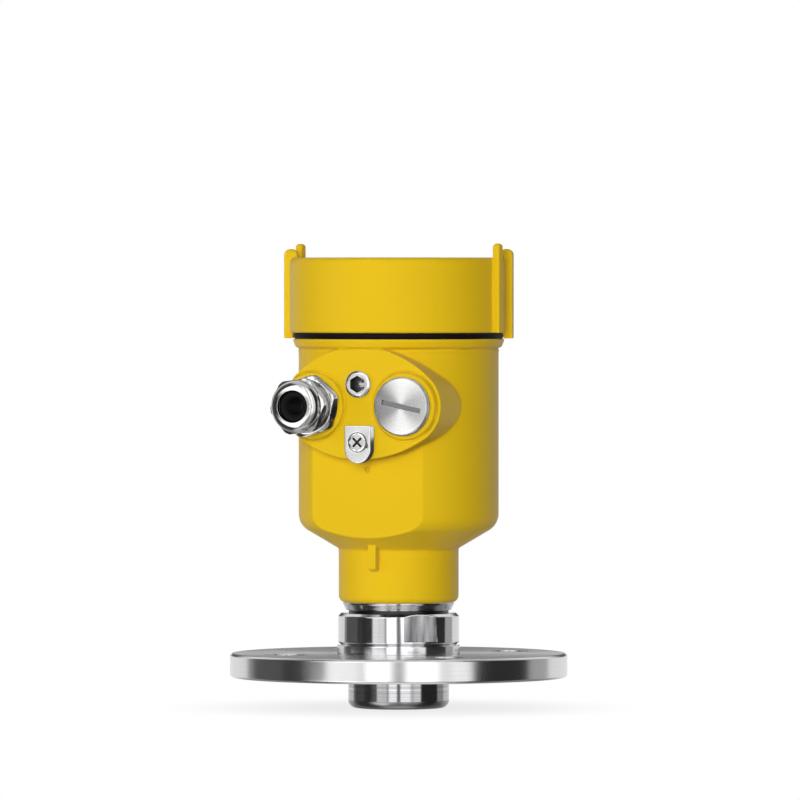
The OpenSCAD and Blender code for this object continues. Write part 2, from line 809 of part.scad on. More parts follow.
module blanking_plug() {
    edge = 0.5;
    color("silver") on_pad(entry_x, z_entry) difference() {
        rotate_extrude() polygon([
            [0, -plug_thread_l], [entry_r - thread_gap - plug_chamfer, -plug_thread_l],
            [entry_r - thread_gap, plug_chamfer - plug_thread_l],
            [entry_r - thread_gap, g_hex], [plug_head_d / 2, g_hex],
            [plug_head_d / 2, g_hex + plug_head_h - edge],
            [plug_head_d / 2 - edge, g_hex + plug_head_h], [0, g_hex + plug_head_h]
        ]);
        translate([0, 0, -plug_thread_l - eps])
            cylinder(r = entry_r - 3, h = plug_thread_l - 1);
        rotate([0, 0, -12]) translate([-slot_l / 2, -slot_w / 2, g_hex + plug_head_h - 1.3])
            cube([slot_l, slot_w, 2]);
    }
}

module vent_seal() {
    color([0.08, 0.08, 0.08]) on_pad(0, z_entry + vent_rise)
        ring(vent_head_d / 2 - 0.3, vent_shank_r, 0, vent_seal_t);
}

module vent_plug() {
    top = 1.8;
    shank_r = vent_shank_r - thread_gap;
    color("silver") on_pad(0, z_entry + vent_rise) difference() {
        rotate_extrude() polygon([
            [0, -vent_l], [shank_r, -vent_l], [shank_r, vent_seal_t],
            [vent_head_d / 2, vent_seal_t], [vent_head_d / 2, top - 0.6],
            [vent_head_d / 2 - 0.9, top], [0, top]
        ]);
        translate([0, 0, -3]) rotate([0, 0, 30])
            cylinder(d = vent_socket_af / cos(30), h = 6, $fn = 6);
        // Breathing hole behind the socket
        translate([0, 0, -vent_l - eps]) cylinder(d = 2.5, h = vent_l);
    }
}

// Outline of the ground terminal: flat top, straight sides, round bottom.
module clamp_outline(grow = 0) {
    r = clamp_w / 2 + grow;
    translate([0, clamp_w / 2 - clamp_h]) circle(r = r);
    translate([-r, clamp_w / 2 - clamp_h]) square([2 * r, clamp_h - clamp_w / 2 + grow]);
}

module ground_base() {
    color("silver") on_pad(clamp_x, z_clamp_top) difference() {
        linear_extrude(clamp_base_t) clamp_outline(-0.6);
        translate([0, z_clamp_screw - z_clamp_top, -eps])
            cylinder(r = ground_screw_r + 0.2, h = clamp_base_t + 2 * eps);
    }
}

module ground_clamp() {
    color("gainsboro") on_pad(clamp_x, z_clamp_top) difference() {
        translate([0, 0, clamp_base_t]) linear_extrude(clamp_t) clamp_outline();
        translate([0, z_clamp_screw - z_clamp_top, 0]) {
            cylinder(r = ground_screw_r + 0.3, h = clamp_base_t + clamp_t + eps);
            translate([0, 0, clamp_base_t + clamp_t - ground_head_h + 0.4])
                cylinder(r = ground_head_r + 0.3, h = ground_head_h);
        }
        // Wire groove across the underside
        translate([0, z_clamp_screw - z_clamp_top - 5.4, clamp_base_t])
            rotate([0, 90, 0]) cylinder(d = 2.4, h = 2 * clamp_w, center = true);
    }
}

module ground_screw() {
    under_head = clamp_base_t + clamp_t - ground_head_h + 0.4;
    color("silver") on_pad(clamp_x, z_clamp_screw) difference() {
        union() {
            translate([0, 0, -ground_screw_l + 1])
                cylinder(r = ground_screw_r, h = ground_screw_l + under_head);
            translate([0, 0, under_head]) cylinder(r = ground_head_r, h = ground_head_h);
        }
        for (turn = [0, 90])
            rotate([0, 0, turn + 45]) translate([-2.6, -0.45, under_head + ground_head_h - 1.3])
                cube([5.2, 0.9, 2]);
    }
}

// ---------------------------------------------------------------- lid

module lid_seal() {
    r_in = lid_bore_r;
    r_out = rim_r - 0.3;
    bulge = 0.5;
    color([0.05, 0.05, 0.05]) rotate_extrude() polygon([
        [r_in, z_rim], [r_out - bulge, z_rim], [r_out, z_rim + seal_h / 2 - 0.4],
        [r_out, z_rim + seal_h / 2 + 0.4], [r_out - bulge, z_lid], [r_in, z_lid]
    ]);
}

// One rib of a lug, standing in a plane through the axis. Its head above the lid
// reaches in from the rib's outer face by depth, and has rounded corners.
module lug_rib(top, foot, depth, round) {
    outer = lid_r + lug_out;
    head = outer - depth;
    translate([0, lug_w / 2, 0]) rotate([90, 0, 0]) linear_extrude(lug_w) {
        translate([lid_r - lug_root, z_lid - foot])
            square([lug_out + lug_root, lid_h + foot - lid_round]);
        translate([head, z_lid]) square([depth, top - round]);
        for (x = [head + round, outer - round])
            translate([x, z_lid + top - round]) circle(r = round);
        translate([head + round, z_lid + top - 2 * round])
            square([depth - 2 * round, 2 * round]);
    }
}

module lid() {
    clear_neck = top_neck_h - seal_h + 1.5;
    color([0.90, 0.74, 0.10]) rotate([0, 0, lid_angle]) union() {
        rotate_extrude() polygon(concat(
            [[lid_bore_r, z_lid], [lid_r - 0.6, z_lid], [lid_r, z_lid + 0.6]],
            arc(lid_r - lid_round, z_lid_top - lid_round, lid_round, 0, 90, 5),
            [[0, z_lid_top], [0, z_lid_top - lid_top_t]],
            [[lid_bore_r - 3, z_lid_top - lid_top_t], [lid_bore_r - 0.6, z_lid_top - lid_top_t - 2.4]],
            [[lid_bore_r - 0.6, z_lid + clear_neck], [lid_bore_r, z_lid + clear_neck]]
        ));
        for (half = [0, 180]) {
            rotate([0, 0, half - lug_spread / 2]) lug_rib(lid_h + lug_tall, 0, lug_out, 1.2);
            rotate([0, 0, half + lug_spread / 2])
                difference() {
                    lug_rib(lid_h + lug_low, lid_foot, lug_out + 2.6, 2.6);
                    ring(rim_r + 0.6, 0, z_rim - 1, seal_h + 1);
                }
        }
    }
}

flange();
process_fitting();
antenna_lens();
antenna_seal();
waveguide();
radar_module();
neck_seal();
housing();
neck_lock_screw();
signal_lead();
electronics_cup();
circuit_board();
module_cover();
module_screws();
terminal_block();
terminal_screws();
contact_pins();
inner_ground_clamp();
inner_ground_screw();
gland_seal();
gland_body();
gland_insert();
gland_nut();
plug_seal();
blanking_plug();
vent_seal();
vent_plug();
ground_base();
ground_clamp();
ground_screw();
lid_seal();
lid();
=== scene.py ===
"""Dresses the radar level transmitter: castings, turned steel, plated fittings and studio.

All lengths are in metres, and angles are in degrees where a docstring says so.
"""
import logging
import math
from dataclasses import dataclass, field
from enum import Enum
from typing import Callable, Iterable, Optional, Sequence, Union

import bmesh
import bpy
from bmesh.types import BMesh, BMVert
from bpy.types import (ColorRamp, Material, Mesh, MeshPolygon, MeshVertex, Node, NodeSocket,
                       NodeTree, Object)
from mathutils import Matrix, Vector


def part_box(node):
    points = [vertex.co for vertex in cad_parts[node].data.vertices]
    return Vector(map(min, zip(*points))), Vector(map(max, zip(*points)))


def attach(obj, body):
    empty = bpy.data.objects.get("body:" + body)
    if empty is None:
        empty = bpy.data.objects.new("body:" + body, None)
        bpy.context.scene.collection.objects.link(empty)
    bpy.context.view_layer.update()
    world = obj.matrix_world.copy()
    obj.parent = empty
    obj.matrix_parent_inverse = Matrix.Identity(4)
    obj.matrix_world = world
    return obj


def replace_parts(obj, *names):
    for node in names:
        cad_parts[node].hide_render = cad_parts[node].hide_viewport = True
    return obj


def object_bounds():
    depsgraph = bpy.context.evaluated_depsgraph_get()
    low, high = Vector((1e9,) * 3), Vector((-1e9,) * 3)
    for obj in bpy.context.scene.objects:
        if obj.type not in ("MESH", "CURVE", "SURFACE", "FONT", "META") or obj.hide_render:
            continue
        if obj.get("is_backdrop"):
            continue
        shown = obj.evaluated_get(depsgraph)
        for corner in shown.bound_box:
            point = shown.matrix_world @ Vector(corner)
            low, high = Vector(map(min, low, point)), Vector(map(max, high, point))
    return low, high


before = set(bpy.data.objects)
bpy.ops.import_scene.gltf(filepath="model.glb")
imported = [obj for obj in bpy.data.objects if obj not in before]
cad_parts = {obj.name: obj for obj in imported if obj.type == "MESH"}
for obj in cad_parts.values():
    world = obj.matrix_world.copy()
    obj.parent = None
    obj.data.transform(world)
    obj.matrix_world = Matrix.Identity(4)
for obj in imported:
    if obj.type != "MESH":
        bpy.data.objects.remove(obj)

log = logging.getLogger("transmitter")
MM = 0.001
TOUCH = 0.01 * MM  # points this near to each other lie at one level
HAIR = 0.05 * MM  # the least distance that tells two surfaces apart
Colour = tuple[float, float, float]
Feed = Union[NodeSocket, float, Sequence[float]]


class Axis(Enum):
    """Where a turned piece's axis points: its letter and its direction."""

    UPRIGHT = ("Z", (0.0, 0.0, 1.0))
    OUT_OF_PAD = ("Y", (0.0, -1.0, 0.0))

    @property
    def letter(self) -> str:
        """Gives the axis letter, round which the brushing runs."""
        return self.value[0]

    @property
    def way(self) -> Vector:
        """Gives the direction."""
        return Vector(self.value[1])


def shaded(colour: Colour, factor: float, lift: float = 0.0) -> Colour:
    """Scales a colour and lifts it, and keeps it below 1."""
    return tuple(min(1.0, factor * part + lift) for part in colour)


def put(name: str, data: object) -> Object:
    """Puts a new object into the scene.

    Args:
        name: The object's name.
        data: Its mesh, camera or light.

    Returns:
        The object.
    """
    thing = bpy.data.objects.new(name, data)
    bpy.context.scene.collection.objects.link(thing)
    return thing


# ------------------------------------------------------------------ shader nodes


@dataclass
class NodeBench:
    """Adds nodes to one node tree and links them.

    Args:
        tree: The tree that the nodes are added to.
    """

    tree: NodeTree

    def feed(self, socket: NodeSocket, value: Feed) -> None:
        """Links a socket to another one, or sets its plain value.

        Args:
            socket: The input to feed.
            value: An output socket, or a number or tuple.
        """
        if isinstance(value, NodeSocket):
            self.tree.links.new(value, socket)
        else:
            socket.default_value = value

    def add(self, kind: str, inputs: Optional[dict[Union[str, int], Feed]] = None,
            **settings: object) -> Node:
        """Adds one node.

        Args:
            kind: The node's type, without the leading "ShaderNode".
            inputs: Input sockets by name or index, with what feeds them.
            **settings: Attributes to set on the node.

        Returns:
            The new node.
        """
        node = self.tree.nodes.new("ShaderNode" + kind)
        for key, value in settings.items():
            setattr(node, key, value)
        for key, value in (inputs or {}).items():
            self.feed(node.inputs[key], value)
        return node

    def math(self, operation: str, a: Feed, b: Feed = 0.0, c: Feed = 0.0,
             clamp: bool = False) -> NodeSocket:
        """Adds a Math node.

        Args:
            operation: The node's operation.
            a: First value.
            b: Second value.
            c: Third value.
            clamp: Whether the result is kept between 0 and 1.

        Returns:
            The result's socket.
        """
        node = self.add("Math", {0: a, 1: b, 2: c}, operation=operation, use_clamp=clamp)
        return node.outputs[0]

    def span(self, value: Feed, low: float, high: float, to_low: float = 0.0,
             to_high: float = 1.0, smooth: bool = False) -> NodeSocket:
        """Maps a range of values onto another, clamped.

        Args:
            value: What is mapped.
            low: Start of the source range.
            high: End of the source range.
            to_low: What the start becomes.
            to_high: What the end becomes.
            smooth: Whether the ends are eased.

        Returns:
            The result's socket.
        """
        node = self.add("MapRange", {"Value": value, "From Min": low, "From Max": high,
                                     "To Min": to_low, "To Max": to_high},
                        interpolation_type="SMOOTHSTEP" if smooth else "LINEAR")
        return node.outputs["Result"]

    def blend(self, factor: Feed, first: Feed, second: Feed, share: float = 1.0) -> NodeSocket:
        """Mixes two colours.

        Args:
            factor: 0 for the first, 1 for the second.
            first: A colour or a socket.
            second: A colour or a socket.
            share: How much of the second colour there is at most.

        Returns:
            The mixed colour's socket.
        """
        if share != 1.0:
            factor = self.math("MULTIPLY", factor, share)
        node = self.add("Mix", data_type="RGBA")
        for index, value in ((0, factor), (6, first), (7, second)):
            if isinstance(value, tuple) and len(value) == 3:
                value = (*value, 1.0)
            self.feed(node.inputs[index], value)
        return node.outputs[2]


def node_group(name: str, inputs: dict[str, tuple[str, object]],
               outputs: Sequence[str]) -> tuple[NodeTree, NodeBench, Node]:
    """Starts a shader node group with named sockets.

    Args:
        name: The group's name.
        inputs: Socket names with their type and default.
        outputs: Names of the value outputs.

    Returns:
        The group, its bench and its input node.
    """
    group = bpy.data.node_groups.new(name, "ShaderNodeTree")
    for label, (kind, default) in inputs.items():
        socket = group.interface.new_socket(label, in_out="INPUT", socket_type=kind)
        if default is not None:
            socket.default_value = default
    for label in outputs:
        group.interface.new_socket(label, in_out="OUTPUT", socket_type="NodeSocketFloat")
    bench = NodeBench(group)
    return group, bench, group.nodes.new("NodeGroupInput")


def close_group(bench: NodeBench, results: dict[str, NodeSocket]) -> None:
    """Links a group's results to its output node.

    Args:
        bench: The group's bench.
        results: Output names with the sockets that feed them.
    """
    end = bench.tree.nodes.new("NodeGroupOutput")
    for label, socket in results.items():
        bench.tree.links.new(socket, end.inputs[label])


@dataclass
class Effects:
    """The effects that several materials share, each one node group built once."""

    grain: NodeTree = field(init=False)
    rings: NodeTree = field(init=False)
    wear: NodeTree = field(init=False)
    crease: NodeTree = field(init=False)

    def __post_init__(self) -> None:
        """Builds the four groups."""
        self.grain = self.build_grain()
        self.rings = self.build_rings()
        self.wear = self.build_edge("edge_wear", 1.0)
        # inner corners: a mask for painted shade in creases
        self.crease = self.build_edge("crease_painted_shade", -1.0)

    @staticmethod
    def build_grain() -> NodeTree:
        """Builds the cloudy grain: a mask of soft spots of a given size.

        Returns:
            The node group.
        """
        group, bench, start = node_group("surface_grain", {
            "Vector": ("NodeSocketVector", None), "Size": ("NodeSocketFloat", 0.001),
            "Detail": ("NodeSocketFloat", 3.0), "Contrast": ("NodeSocketFloat", 1.0),
        }, ["Mask"])
        scale = bench.math("DIVIDE", 1.0, start.outputs["Size"])
        noise = bench.add("TexNoise", {"Vector": start.outputs["Vector"], "Scale": scale,
                                       "Detail": start.outputs["Detail"]})
        centred = bench.math("SUBTRACT", noise.outputs["Fac"], 0.5)
        spread = bench.math("MULTIPLY_ADD", centred, start.outputs["Contrast"], 0.5, clamp=True)
        close_group(bench, {"Mask": spread})
        return group

    @staticmethod
    def build_rings() -> NodeTree:
        """Builds turning marks: fine uneven rings round the local Z axis.

        Returns:
            The node group.
        """
        group, bench, start = node_group("turning_rings", {
            "Vector": ("NodeSocketVector", None), "Spacing": ("NodeSocketFloat", 0.0004),
            "Contrast": ("NodeSocketFloat", 1.0),
        }, ["Mask"])
        parts = bench.add("SeparateXYZ", {0: start.outputs["Vector"]})
        flat = bench.add("CombineXYZ", {0: parts.outputs[0], 1: parts.outputs[1], 2: 0.0})
        radius = bench.add("VectorMath", {0: flat.outputs[0]}, operation="LENGTH")
        path = bench.math("ADD", radius.outputs["Value"], parts.outputs[2])
        along = bench.math("DIVIDE", path, start.outputs["Spacing"])
        noise = bench.add("TexNoise", {"W": along, "Scale": 1.0, "Detail": 4.0,
                                       "Roughness": 0.65}, noise_dimensions="1D")
        centred = bench.math("SUBTRACT", noise.outputs["Fac"], 0.5)
        spread = bench.math("MULTIPLY_ADD", centred, start.outputs["Contrast"], 0.5, clamp=True)
        close_group(bench, {"Mask": spread})
        return group

    @staticmethod
    def build_edge(name: str, side: float) -> NodeTree:
        """Builds a broken mask along edges.

        Args:
            name: The group's name.
            side: 1 for edges that stand out, -1 for inner corners, where the mask places
                painted shade.

        Returns:
            The node group.
        """
        group, bench, start = node_group(name, {
            "Vector": ("NodeSocketVector", None), "Reach": ("NodeSocketFloat", 0.06),
            "Breaks": ("NodeSocketFloat", 0.002),
        }, ["Mask"])
        geometry = bench.add("NewGeometry")
        lift = bench.math("SUBTRACT", geometry.outputs["Pointiness"], 0.5)
        turned = bench.math("MULTIPLY", lift, side)
        edge = bench.math("DIVIDE", turned, start.outputs["Reach"], clamp=True)
        scale = bench.math("DIVIDE", 1.0, start.outputs["Breaks"])
        noise = bench.add("TexNoise", {"Vector": start.outputs["Vector"], "Scale": scale,
                                       "Detail": 4.0})
        broken = bench.span(noise.outputs["Fac"], 0.35, 0.65)
        close_group(bench, {"Mask": bench.math("MULTIPLY", edge, broken)})
        return group


EFFECTS = Effects()


@dataclass
class MaterialBench(NodeBench):
    """Builds one material around its Principled shader.

    Args:
        tree: The material's node tree.
        material: The material.
        shader: Its Principled BSDF.
    """

    material: Material
    shader: Node

    @classmethod
    def start(cls, name: str, roughness: float, metallic: float = 0.0) -> "MaterialBench":
        """Starts a material with its plain values.

        Args:
            name: The material's name.
            roughness: The shader's roughness.
            metallic: 1 for bare metal.

        Returns:
            The material's bench.
        """
        material = bpy.data.materials.new(name)
        material.use_nodes = True
        shader = material.node_tree.nodes["Principled BSDF"]
        shader.inputs["Roughness"].default_value = roughness
        shader.inputs["Metallic"].default_value = metallic
        return cls(material.node_tree, material, shader)

    def position(self, centre: Sequence[float] = (0.0, 0.0, 0.0),
                 axis: Axis = Axis.UPRIGHT) -> NodeSocket:
        """Gives a point's place from a turned piece's centre, with its axis as Z.

        Args:
            centre: The piece's centre.
            axis: Where the piece's axis points.

        Returns:
            The vector's socket.
        """
        place = self.add("TexCoord").outputs["Object"]
        moved = self.add("VectorMath", {0: place, 1: tuple(centre)}, operation="SUBTRACT")
        if axis is Axis.UPRIGHT:
            return moved.outputs[0]
        parts = self.add("SeparateXYZ", {0: moved.outputs[0]})
        turned = self.add("CombineXYZ", {0: parts.outputs[0], 1: parts.outputs[2],
                                         2: parts.outputs[1]})
        return turned.outputs[0]

    def mask(self, group: NodeTree, vector: NodeSocket,
             **values: float) -> NodeSocket:
        """Places one of the shared effects.

        Args:
            group: The effect's node group.
            vector: What its Vector input takes.
            **values: The other inputs by name, in lower case.

        Returns:
            The effect's mask.
        """
        node = self.add("Group", node_tree=group)
        self.feed(node.inputs["Vector"], vector)
        for key, value in values.items():
            node.inputs[key.capitalize()].default_value = value
        return node.outputs["Mask"]

    def colour(self, value: Feed) -> None:
        """Feeds the base colour."""
        self.feed(self.shader.inputs["Base Color"],
                  (*value, 1.0) if isinstance(value, tuple) else value)

    def rough(self, mask: NodeSocket, low: float, high: float) -> None:
        """Lets the roughness follow a mask from one value to another."""
        self.feed(self.shader.inputs["Roughness"], self.span(mask, 0.0, 1.0, low, high))

    def bump(self, height: NodeSocket, distance: float, strength: float = 1.0,
             under: Optional[NodeSocket] = None) -> NodeSocket:
        """Adds a bump and feeds it to the shader's normal.

        Args:
            height: The height mask.
            distance: How high the mask stands.
            strength: The bump's strength.
            under: A normal that this bump lies on.

        Returns:
            The bump's normal.
        """
        node = self.add("Bump", {"Height": height, "Distance": distance, "Strength": strength})
        if under is not None:
            self.feed(node.inputs["Normal"], under)
        self.feed(self.shader.inputs["Normal"], node.outputs["Normal"])
        return node.outputs["Normal"]


# ---------------------------------------------------------------------- finishes


@dataclass(frozen=True)
class Finish:
    """What each finish starts from.

    Args:
        name: The material's name.
        colour: Its main colour.
        roughness: Its mean roughness.
    """

    name: str
    colour: Colour
    roughness: float = 0.3


@dataclass(frozen=True)
class PowderCoat(Finish):
    """Satin powder coat over a casting: slight orange peel, a little colour drift and painted
    shade in its inner corners.

    Args:
        drift: The colour it drifts to in patches.
        peel: Height of the orange peel.
        gloss: Specular level of the coat.
    """

    roughness: float = 0.42
    drift: Colour = (0.79, 0.51, 0.005)
    peel: float = 0.03 * MM
    gloss: float = 0.25

    def make(self) -> Material:
        """Builds the material.

        Returns:
            The new material.
        """
        bench = MaterialBench.start(self.name, self.roughness)
        place = bench.position()
        patch = bench.mask(EFFECTS.grain, place, size=30 * MM, detail=2.0, contrast=1.6)
        speck = bench.mask(EFFECTS.grain, place, size=1.1 * MM, detail=2.0, contrast=1.2)
        worn = bench.mask(EFFECTS.wear, place, reach=0.1, breaks=1.5 * MM)
        # painted shade: darkens the coat in creases and inner corners
        crease_shade = bench.mask(EFFECTS.crease, place, reach=0.08, breaks=12 * MM)
        tone = bench.blend(patch, self.colour, self.drift, 0.5)
        tone = bench.blend(worn, tone, shaded(self.colour, 1.12, 0.03), 0.5)
        bench.colour(bench.blend(crease_shade, tone, shaded(self.colour, 0.42), 0.9))
        bench.rough(speck, self.roughness - 0.05, self.roughness + 0.06)
        bench.shader.inputs["Specular IOR Level"].default_value = self.gloss
        coarse = bench.mask(EFFECTS.grain, place, size=3.2 * MM, detail=1.0, contrast=1.0)
        under = bench.bump(coarse, 2.2 * self.peel, 0.5)
        bench.bump(speck, self.peel, 0.55, under)
        return bench.material


@dataclass(frozen=True)
class TurnedMetal(Finish):
    """Lathe-turned metal with fine uneven rings round its axis.

    Args:
        axis: Where its axis points.
        centre: A point on the axis.
        spacing: Spacing of the turning marks.
        depth: Depth of the marks.
        anisotropy: How much the reflection is drawn out across the marks.
        shade: How much darker the deepest marks are.
        dish: How far the face curves away, as a slope for each metre from its axis.
    """

    roughness: float = 0.2
    axis: Axis = Axis.UPRIGHT
    centre: tuple[float, float, float] = (0.0, 0.0, 0.0)
    spacing: float = 0.5 * MM
    depth: float = 0.004 * MM
    anisotropy: float = 0.4
    shade: float = 0.85
    dish: float = 0.0

    def make(self) -> Material:
        """Builds the material.

        Returns:
            The new material.
        """
        bench = MaterialBench.start(self.name, self.roughness, 1.0)
        place = bench.position(self.centre, self.axis)
        marks = bench.mask(EFFECTS.rings, place, spacing=self.spacing, contrast=1.8)
        stain = bench.mask(EFFECTS.grain, place, size=12 * MM, detail=4.0, contrast=1.5)
        tone = bench.blend(marks, shaded(self.colour, self.shade), self.colour)
        bench.colour(bench.blend(stain, tone, shaded(self.colour, 0.93), 0.35))
        rough = bench.math("MULTIPLY_ADD", stain, 0.06, self.roughness - 0.03)
        bench.feed(bench.shader.inputs["Roughness"],
                   bench.math("MULTIPLY_ADD", marks, -0.05, rough))
        bench.shader.inputs["Anisotropic"].default_value = self.anisotropy
        bench.shader.inputs["Anisotropic Rotation"].default_value = 0.25
        around = bench.add("Tangent", direction_type="RADIAL", axis=self.axis.letter)
        bench.feed(bench.shader.inputs["Tangent"], around.outputs[0])
        if not self.dish:
            bench.bump(marks, self.depth, 0.6)
            return bench.material
        parts = bench.add("SeparateXYZ", {0: place})
        across = bench.math("MULTIPLY", parts.outputs[0], parts.outputs[0])
        square = bench.math("MULTIPLY_ADD", parts.outputs[1], parts.outputs[1], across)
        drop = bench.math("MULTIPLY", square, -0.5 * self.dish)
        bench.bump(bench.math("MULTIPLY_ADD", marks, 0.6 * self.depth, drop), 1.0)
        return bench.material


@dataclass(frozen=True)
class PlatedMetal(Finish):
    """Plated or blasted metal with a fine even grain and slightly rubbed edges.

    Args:
        grain: Size of the grain.
        depth: Depth of the grain.
    """

    roughness: float = 0.24
    grain: float = 0.6 * MM
    depth: float = 0.004 * MM

    def make(self) -> Material:
        """Builds the material.

        Returns:
            The new material.
        """
        bench = MaterialBench.start(self.name, self.roughness, 1.0)
        place = bench.position()
        fine = bench.mask(EFFECTS.grain, place, size=self.grain, detail=3.0, contrast=1.2)
        cloud = bench.mask(EFFECTS.grain, place, size=6 * MM, detail=3.0, contrast=1.4)
        worn = bench.mask(EFFECTS.wear, place, reach=0.1, breaks=0.8 * MM)
        tone = bench.blend(cloud, self.colour, shaded(self.colour, 0.82), 0.6)
        bench.colour(bench.blend(worn, tone, shaded(self.colour, 1.12)))
        bench.rough(cloud, self.roughness - 0.05, self.roughness + 0.07)
        bench.bump(fine, self.depth, 0.5)
        return bench.material


@dataclass(frozen=True)
class MilledMetal(Finish):
    """Milled steel with upright cutter streaks, some of them stained dark.

    Args:
        streak: The colour of the stained streaks.
        width: Width of the broad streaks.
    """

    colour: Colour = (0.62, 0.62, 0.63)
    streak: Colour = (0.12, 0.12, 0.13)
    width: float = 3.5 * MM

    def make(self) -> Material:
        """Builds the material.

        Returns:
            The new material.
        """
        bench = MaterialBench.start(self.name, self.roughness, 1.0)
        long = bench.add("VectorMath", {0: bench.position(), 1: (1.0, 1.0, 0.16)},
                         operation="MULTIPLY").outputs[0]
        broad = bench.mask(EFFECTS.grain, long, size=self.width, detail=3.0, contrast=3.2)
        fine = bench.mask(EFFECTS.grain, long, size=0.12 * self.width, detail=2.0,
                          contrast=1.5)
        tone = bench.blend(broad, self.streak, self.colour)
        bench.colour(bench.blend(fine, tone, shaded(self.colour, 0.7), 0.4))
        bench.rough(fine, self.roughness - 0.06, self.roughness + 0.08)
        bench.bump(fine, 0.004 * MM, 0.6)
        return bench.material


@dataclass(frozen=True)
class Moulding(Finish):
    """Moulded plastic or rubber: one colour with cloudy dulling and a fine skin.

    Args:
        grain: Size of the skin's grain.
        depth: Depth of the grain.
        bloom: How much paler the dull clouds are.
        gloss: Specular level.
    """

    roughness: float = 0.5
    grain: float = 0.5 * MM
    depth: float = 0.01 * MM
    bloom: float = 0.012
    gloss: float = 0.5

    def make(self) -> Material:
        """Builds the material.

        Returns:
            The new material.
        """
        bench = MaterialBench.start(self.name, self.roughness)
        place = bench.position()
        fine = bench.mask(EFFECTS.grain, place, size=self.grain, detail=3.0, contrast=1.3)
        cloud = bench.mask(EFFECTS.grain, place, size=7 * MM, detail=4.0, contrast=1.6)
        bench.shader.inputs["Specular IOR Level"].default_value = self.gloss
        bench.colour(bench.blend(cloud, self.colour, shaded(self.colour, 1.0, self.bloom)))
        bench.rough(cloud, self.roughness - 0.06, self.roughness + 0.08)
        bench.bump(fine, self.depth, 0.5)
        return bench.material


@dataclass(frozen=True)
class BoardLaminate(Finish):
    """Circuit board: solder resist with copper tracks showing through it.

    Args:
        track: Colour of the resist over copper.
    """

    colour: Colour = (0.015, 0.10, 0.035)
    track: Colour = (0.035, 0.22, 0.07)

    def make(self) -> Material:
        """Builds the material.

        Returns:
            The new material.
        """
        bench = MaterialBench.start(self.name, self.roughness)
        bricks = bench.add("TexBrick", {"Vector": bench.position(), "Scale": 260.0,
                                        "Mortar Size": 0.09, "Color1": (0, 0, 0, 1),
                                        "Color2": (0.5, 0.5, 0.5, 1), "Mortar": (1, 1, 1, 1)})
        mask = bench.span(bricks.outputs["Color"], 0.3, 0.7)
        bench.colour(bench.blend(mask, self.colour, self.track))
        bench.bump(mask, 0.03 * MM, 0.6)
        return bench.material


# ------------------------------------------------------------------- mesh making


def show(name: str, mesh: Mesh, material: Material, body: str) -> Object:
    """Puts a mesh into the scene as a piece that rides on a body.

    Args:
        name: The piece's name.
        mesh: Its mesh, in place.
        material: Its material.
        body: The CAD body it rides on.

    Returns:
        The new piece.
    """
    piece = put(name, mesh)
    mesh.materials.clear()
    mesh.materials.append(material)
    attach(piece, body)
    log.info("%s: %d faces on %s", name, len(mesh.polygons), body)
    return piece


def through_modifiers(mesh: Mesh,
                      steps: Sequence[tuple[str, dict[str, object]]]) -> Mesh:
    """Runs a mesh through modifiers and gives the result.

    Args:
        mesh: The mesh to start from. It is used up.
        steps: Modifier types, each with its settings.

    Returns:
        The finished mesh.
    """
    bench = put("bench", mesh)
    for kind, settings in steps:
        modifier = bench.modifiers.new(kind.lower(), kind)
        for key, value in settings.items():
            setattr(modifier, key, value)
    graph = bpy.context.evaluated_depsgraph_get()
    result = bpy.data.meshes.new_from_object(bench.evaluated_get(graph), depsgraph=graph)
    bpy.data.objects.remove(bench)
    bpy.data.meshes.remove(mesh)
    return result


def solid_of(node: str) -> BMesh:
    """Copies a CAD node's solid with its points joined up.

    Args:
        node: The CAD node's name.

    Returns:
        The copy.
    """
    solid = bmesh.new()
    solid.from_mesh(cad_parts[node].data)
    bmesh.ops.remove_doubles(solid, verts=solid.verts, dist=0.001 * MM)
    return solid


def mesh_of(solid: BMesh, name: str) -> Mesh:
    """Turns an edit mesh into a smooth-shaded mesh.

    Args:
        solid: The edit mesh. It is freed.
        name: The mesh's name.

    Returns:
        The mesh.
    """
    for face in solid.faces:
        face.smooth = True
    mesh = bpy.data.meshes.new(name)
    solid.to_mesh(mesh)
    solid.free()
    return mesh


def broken_edges(node: str, width: float, segments: int = 2,
                 thread: Optional["Thread"] = None, sharp_from: float = 42.0) -> Mesh:
    """Copies a CAD node with its sharp edges broken, as on a machined piece.

    Args:
        node: The CAD node's name.
        width: Width of the broken edge.
        segments: Steps across the edge.
        thread: A thread whose shank is cut before the edges are broken.
        sharp_from: Angle from which an edge is shaded as sharp, in degrees.

    Returns:
        The new mesh.
    """
    solid = solid_of(node)
    if thread is not None:
        thread.cut(solid.verts)
    bmesh.ops.dissolve_limit(solid, angle_limit=math.radians(0.5), verts=solid.verts,
                             edges=solid.edges)
    sharp = [edge for edge in solid.edges
             if edge.is_manifold and edge.calc_face_angle(0.0) > math.radians(24)]
    bmesh.ops.bevel(solid, geom=sharp, offset=width, offset_type="OFFSET",
                    segments=segments, profile=0.5, affect="EDGES", clamp_overlap=False)
    bmesh.ops.triangulate(solid, faces=[f for f in solid.faces if len(f.verts) > 4])
    mesh = mesh_of(solid, node)
    mesh.set_sharp_from_angle(angle=math.radians(sharp_from))
    return through_modifiers(mesh, [("WEIGHTED_NORMAL", {"keep_sharp": True, "weight": 80})])


def eased(mesh: Mesh, node: str, share: float = 0.998) -> Mesh:
    """Shrinks a mesh by a hair about its node's middle, so that it clears its neighbours.

    Args:
        mesh: The mesh.
        node: The CAD node that it stands for.
        share: Its new size as a share of its old one.

    Returns:
        The same mesh.
    """
    middle = Matrix.Translation(middle_of(node))
    mesh.transform(middle @ Matrix.Scale(share, 4) @ middle.inverted())
    return mesh


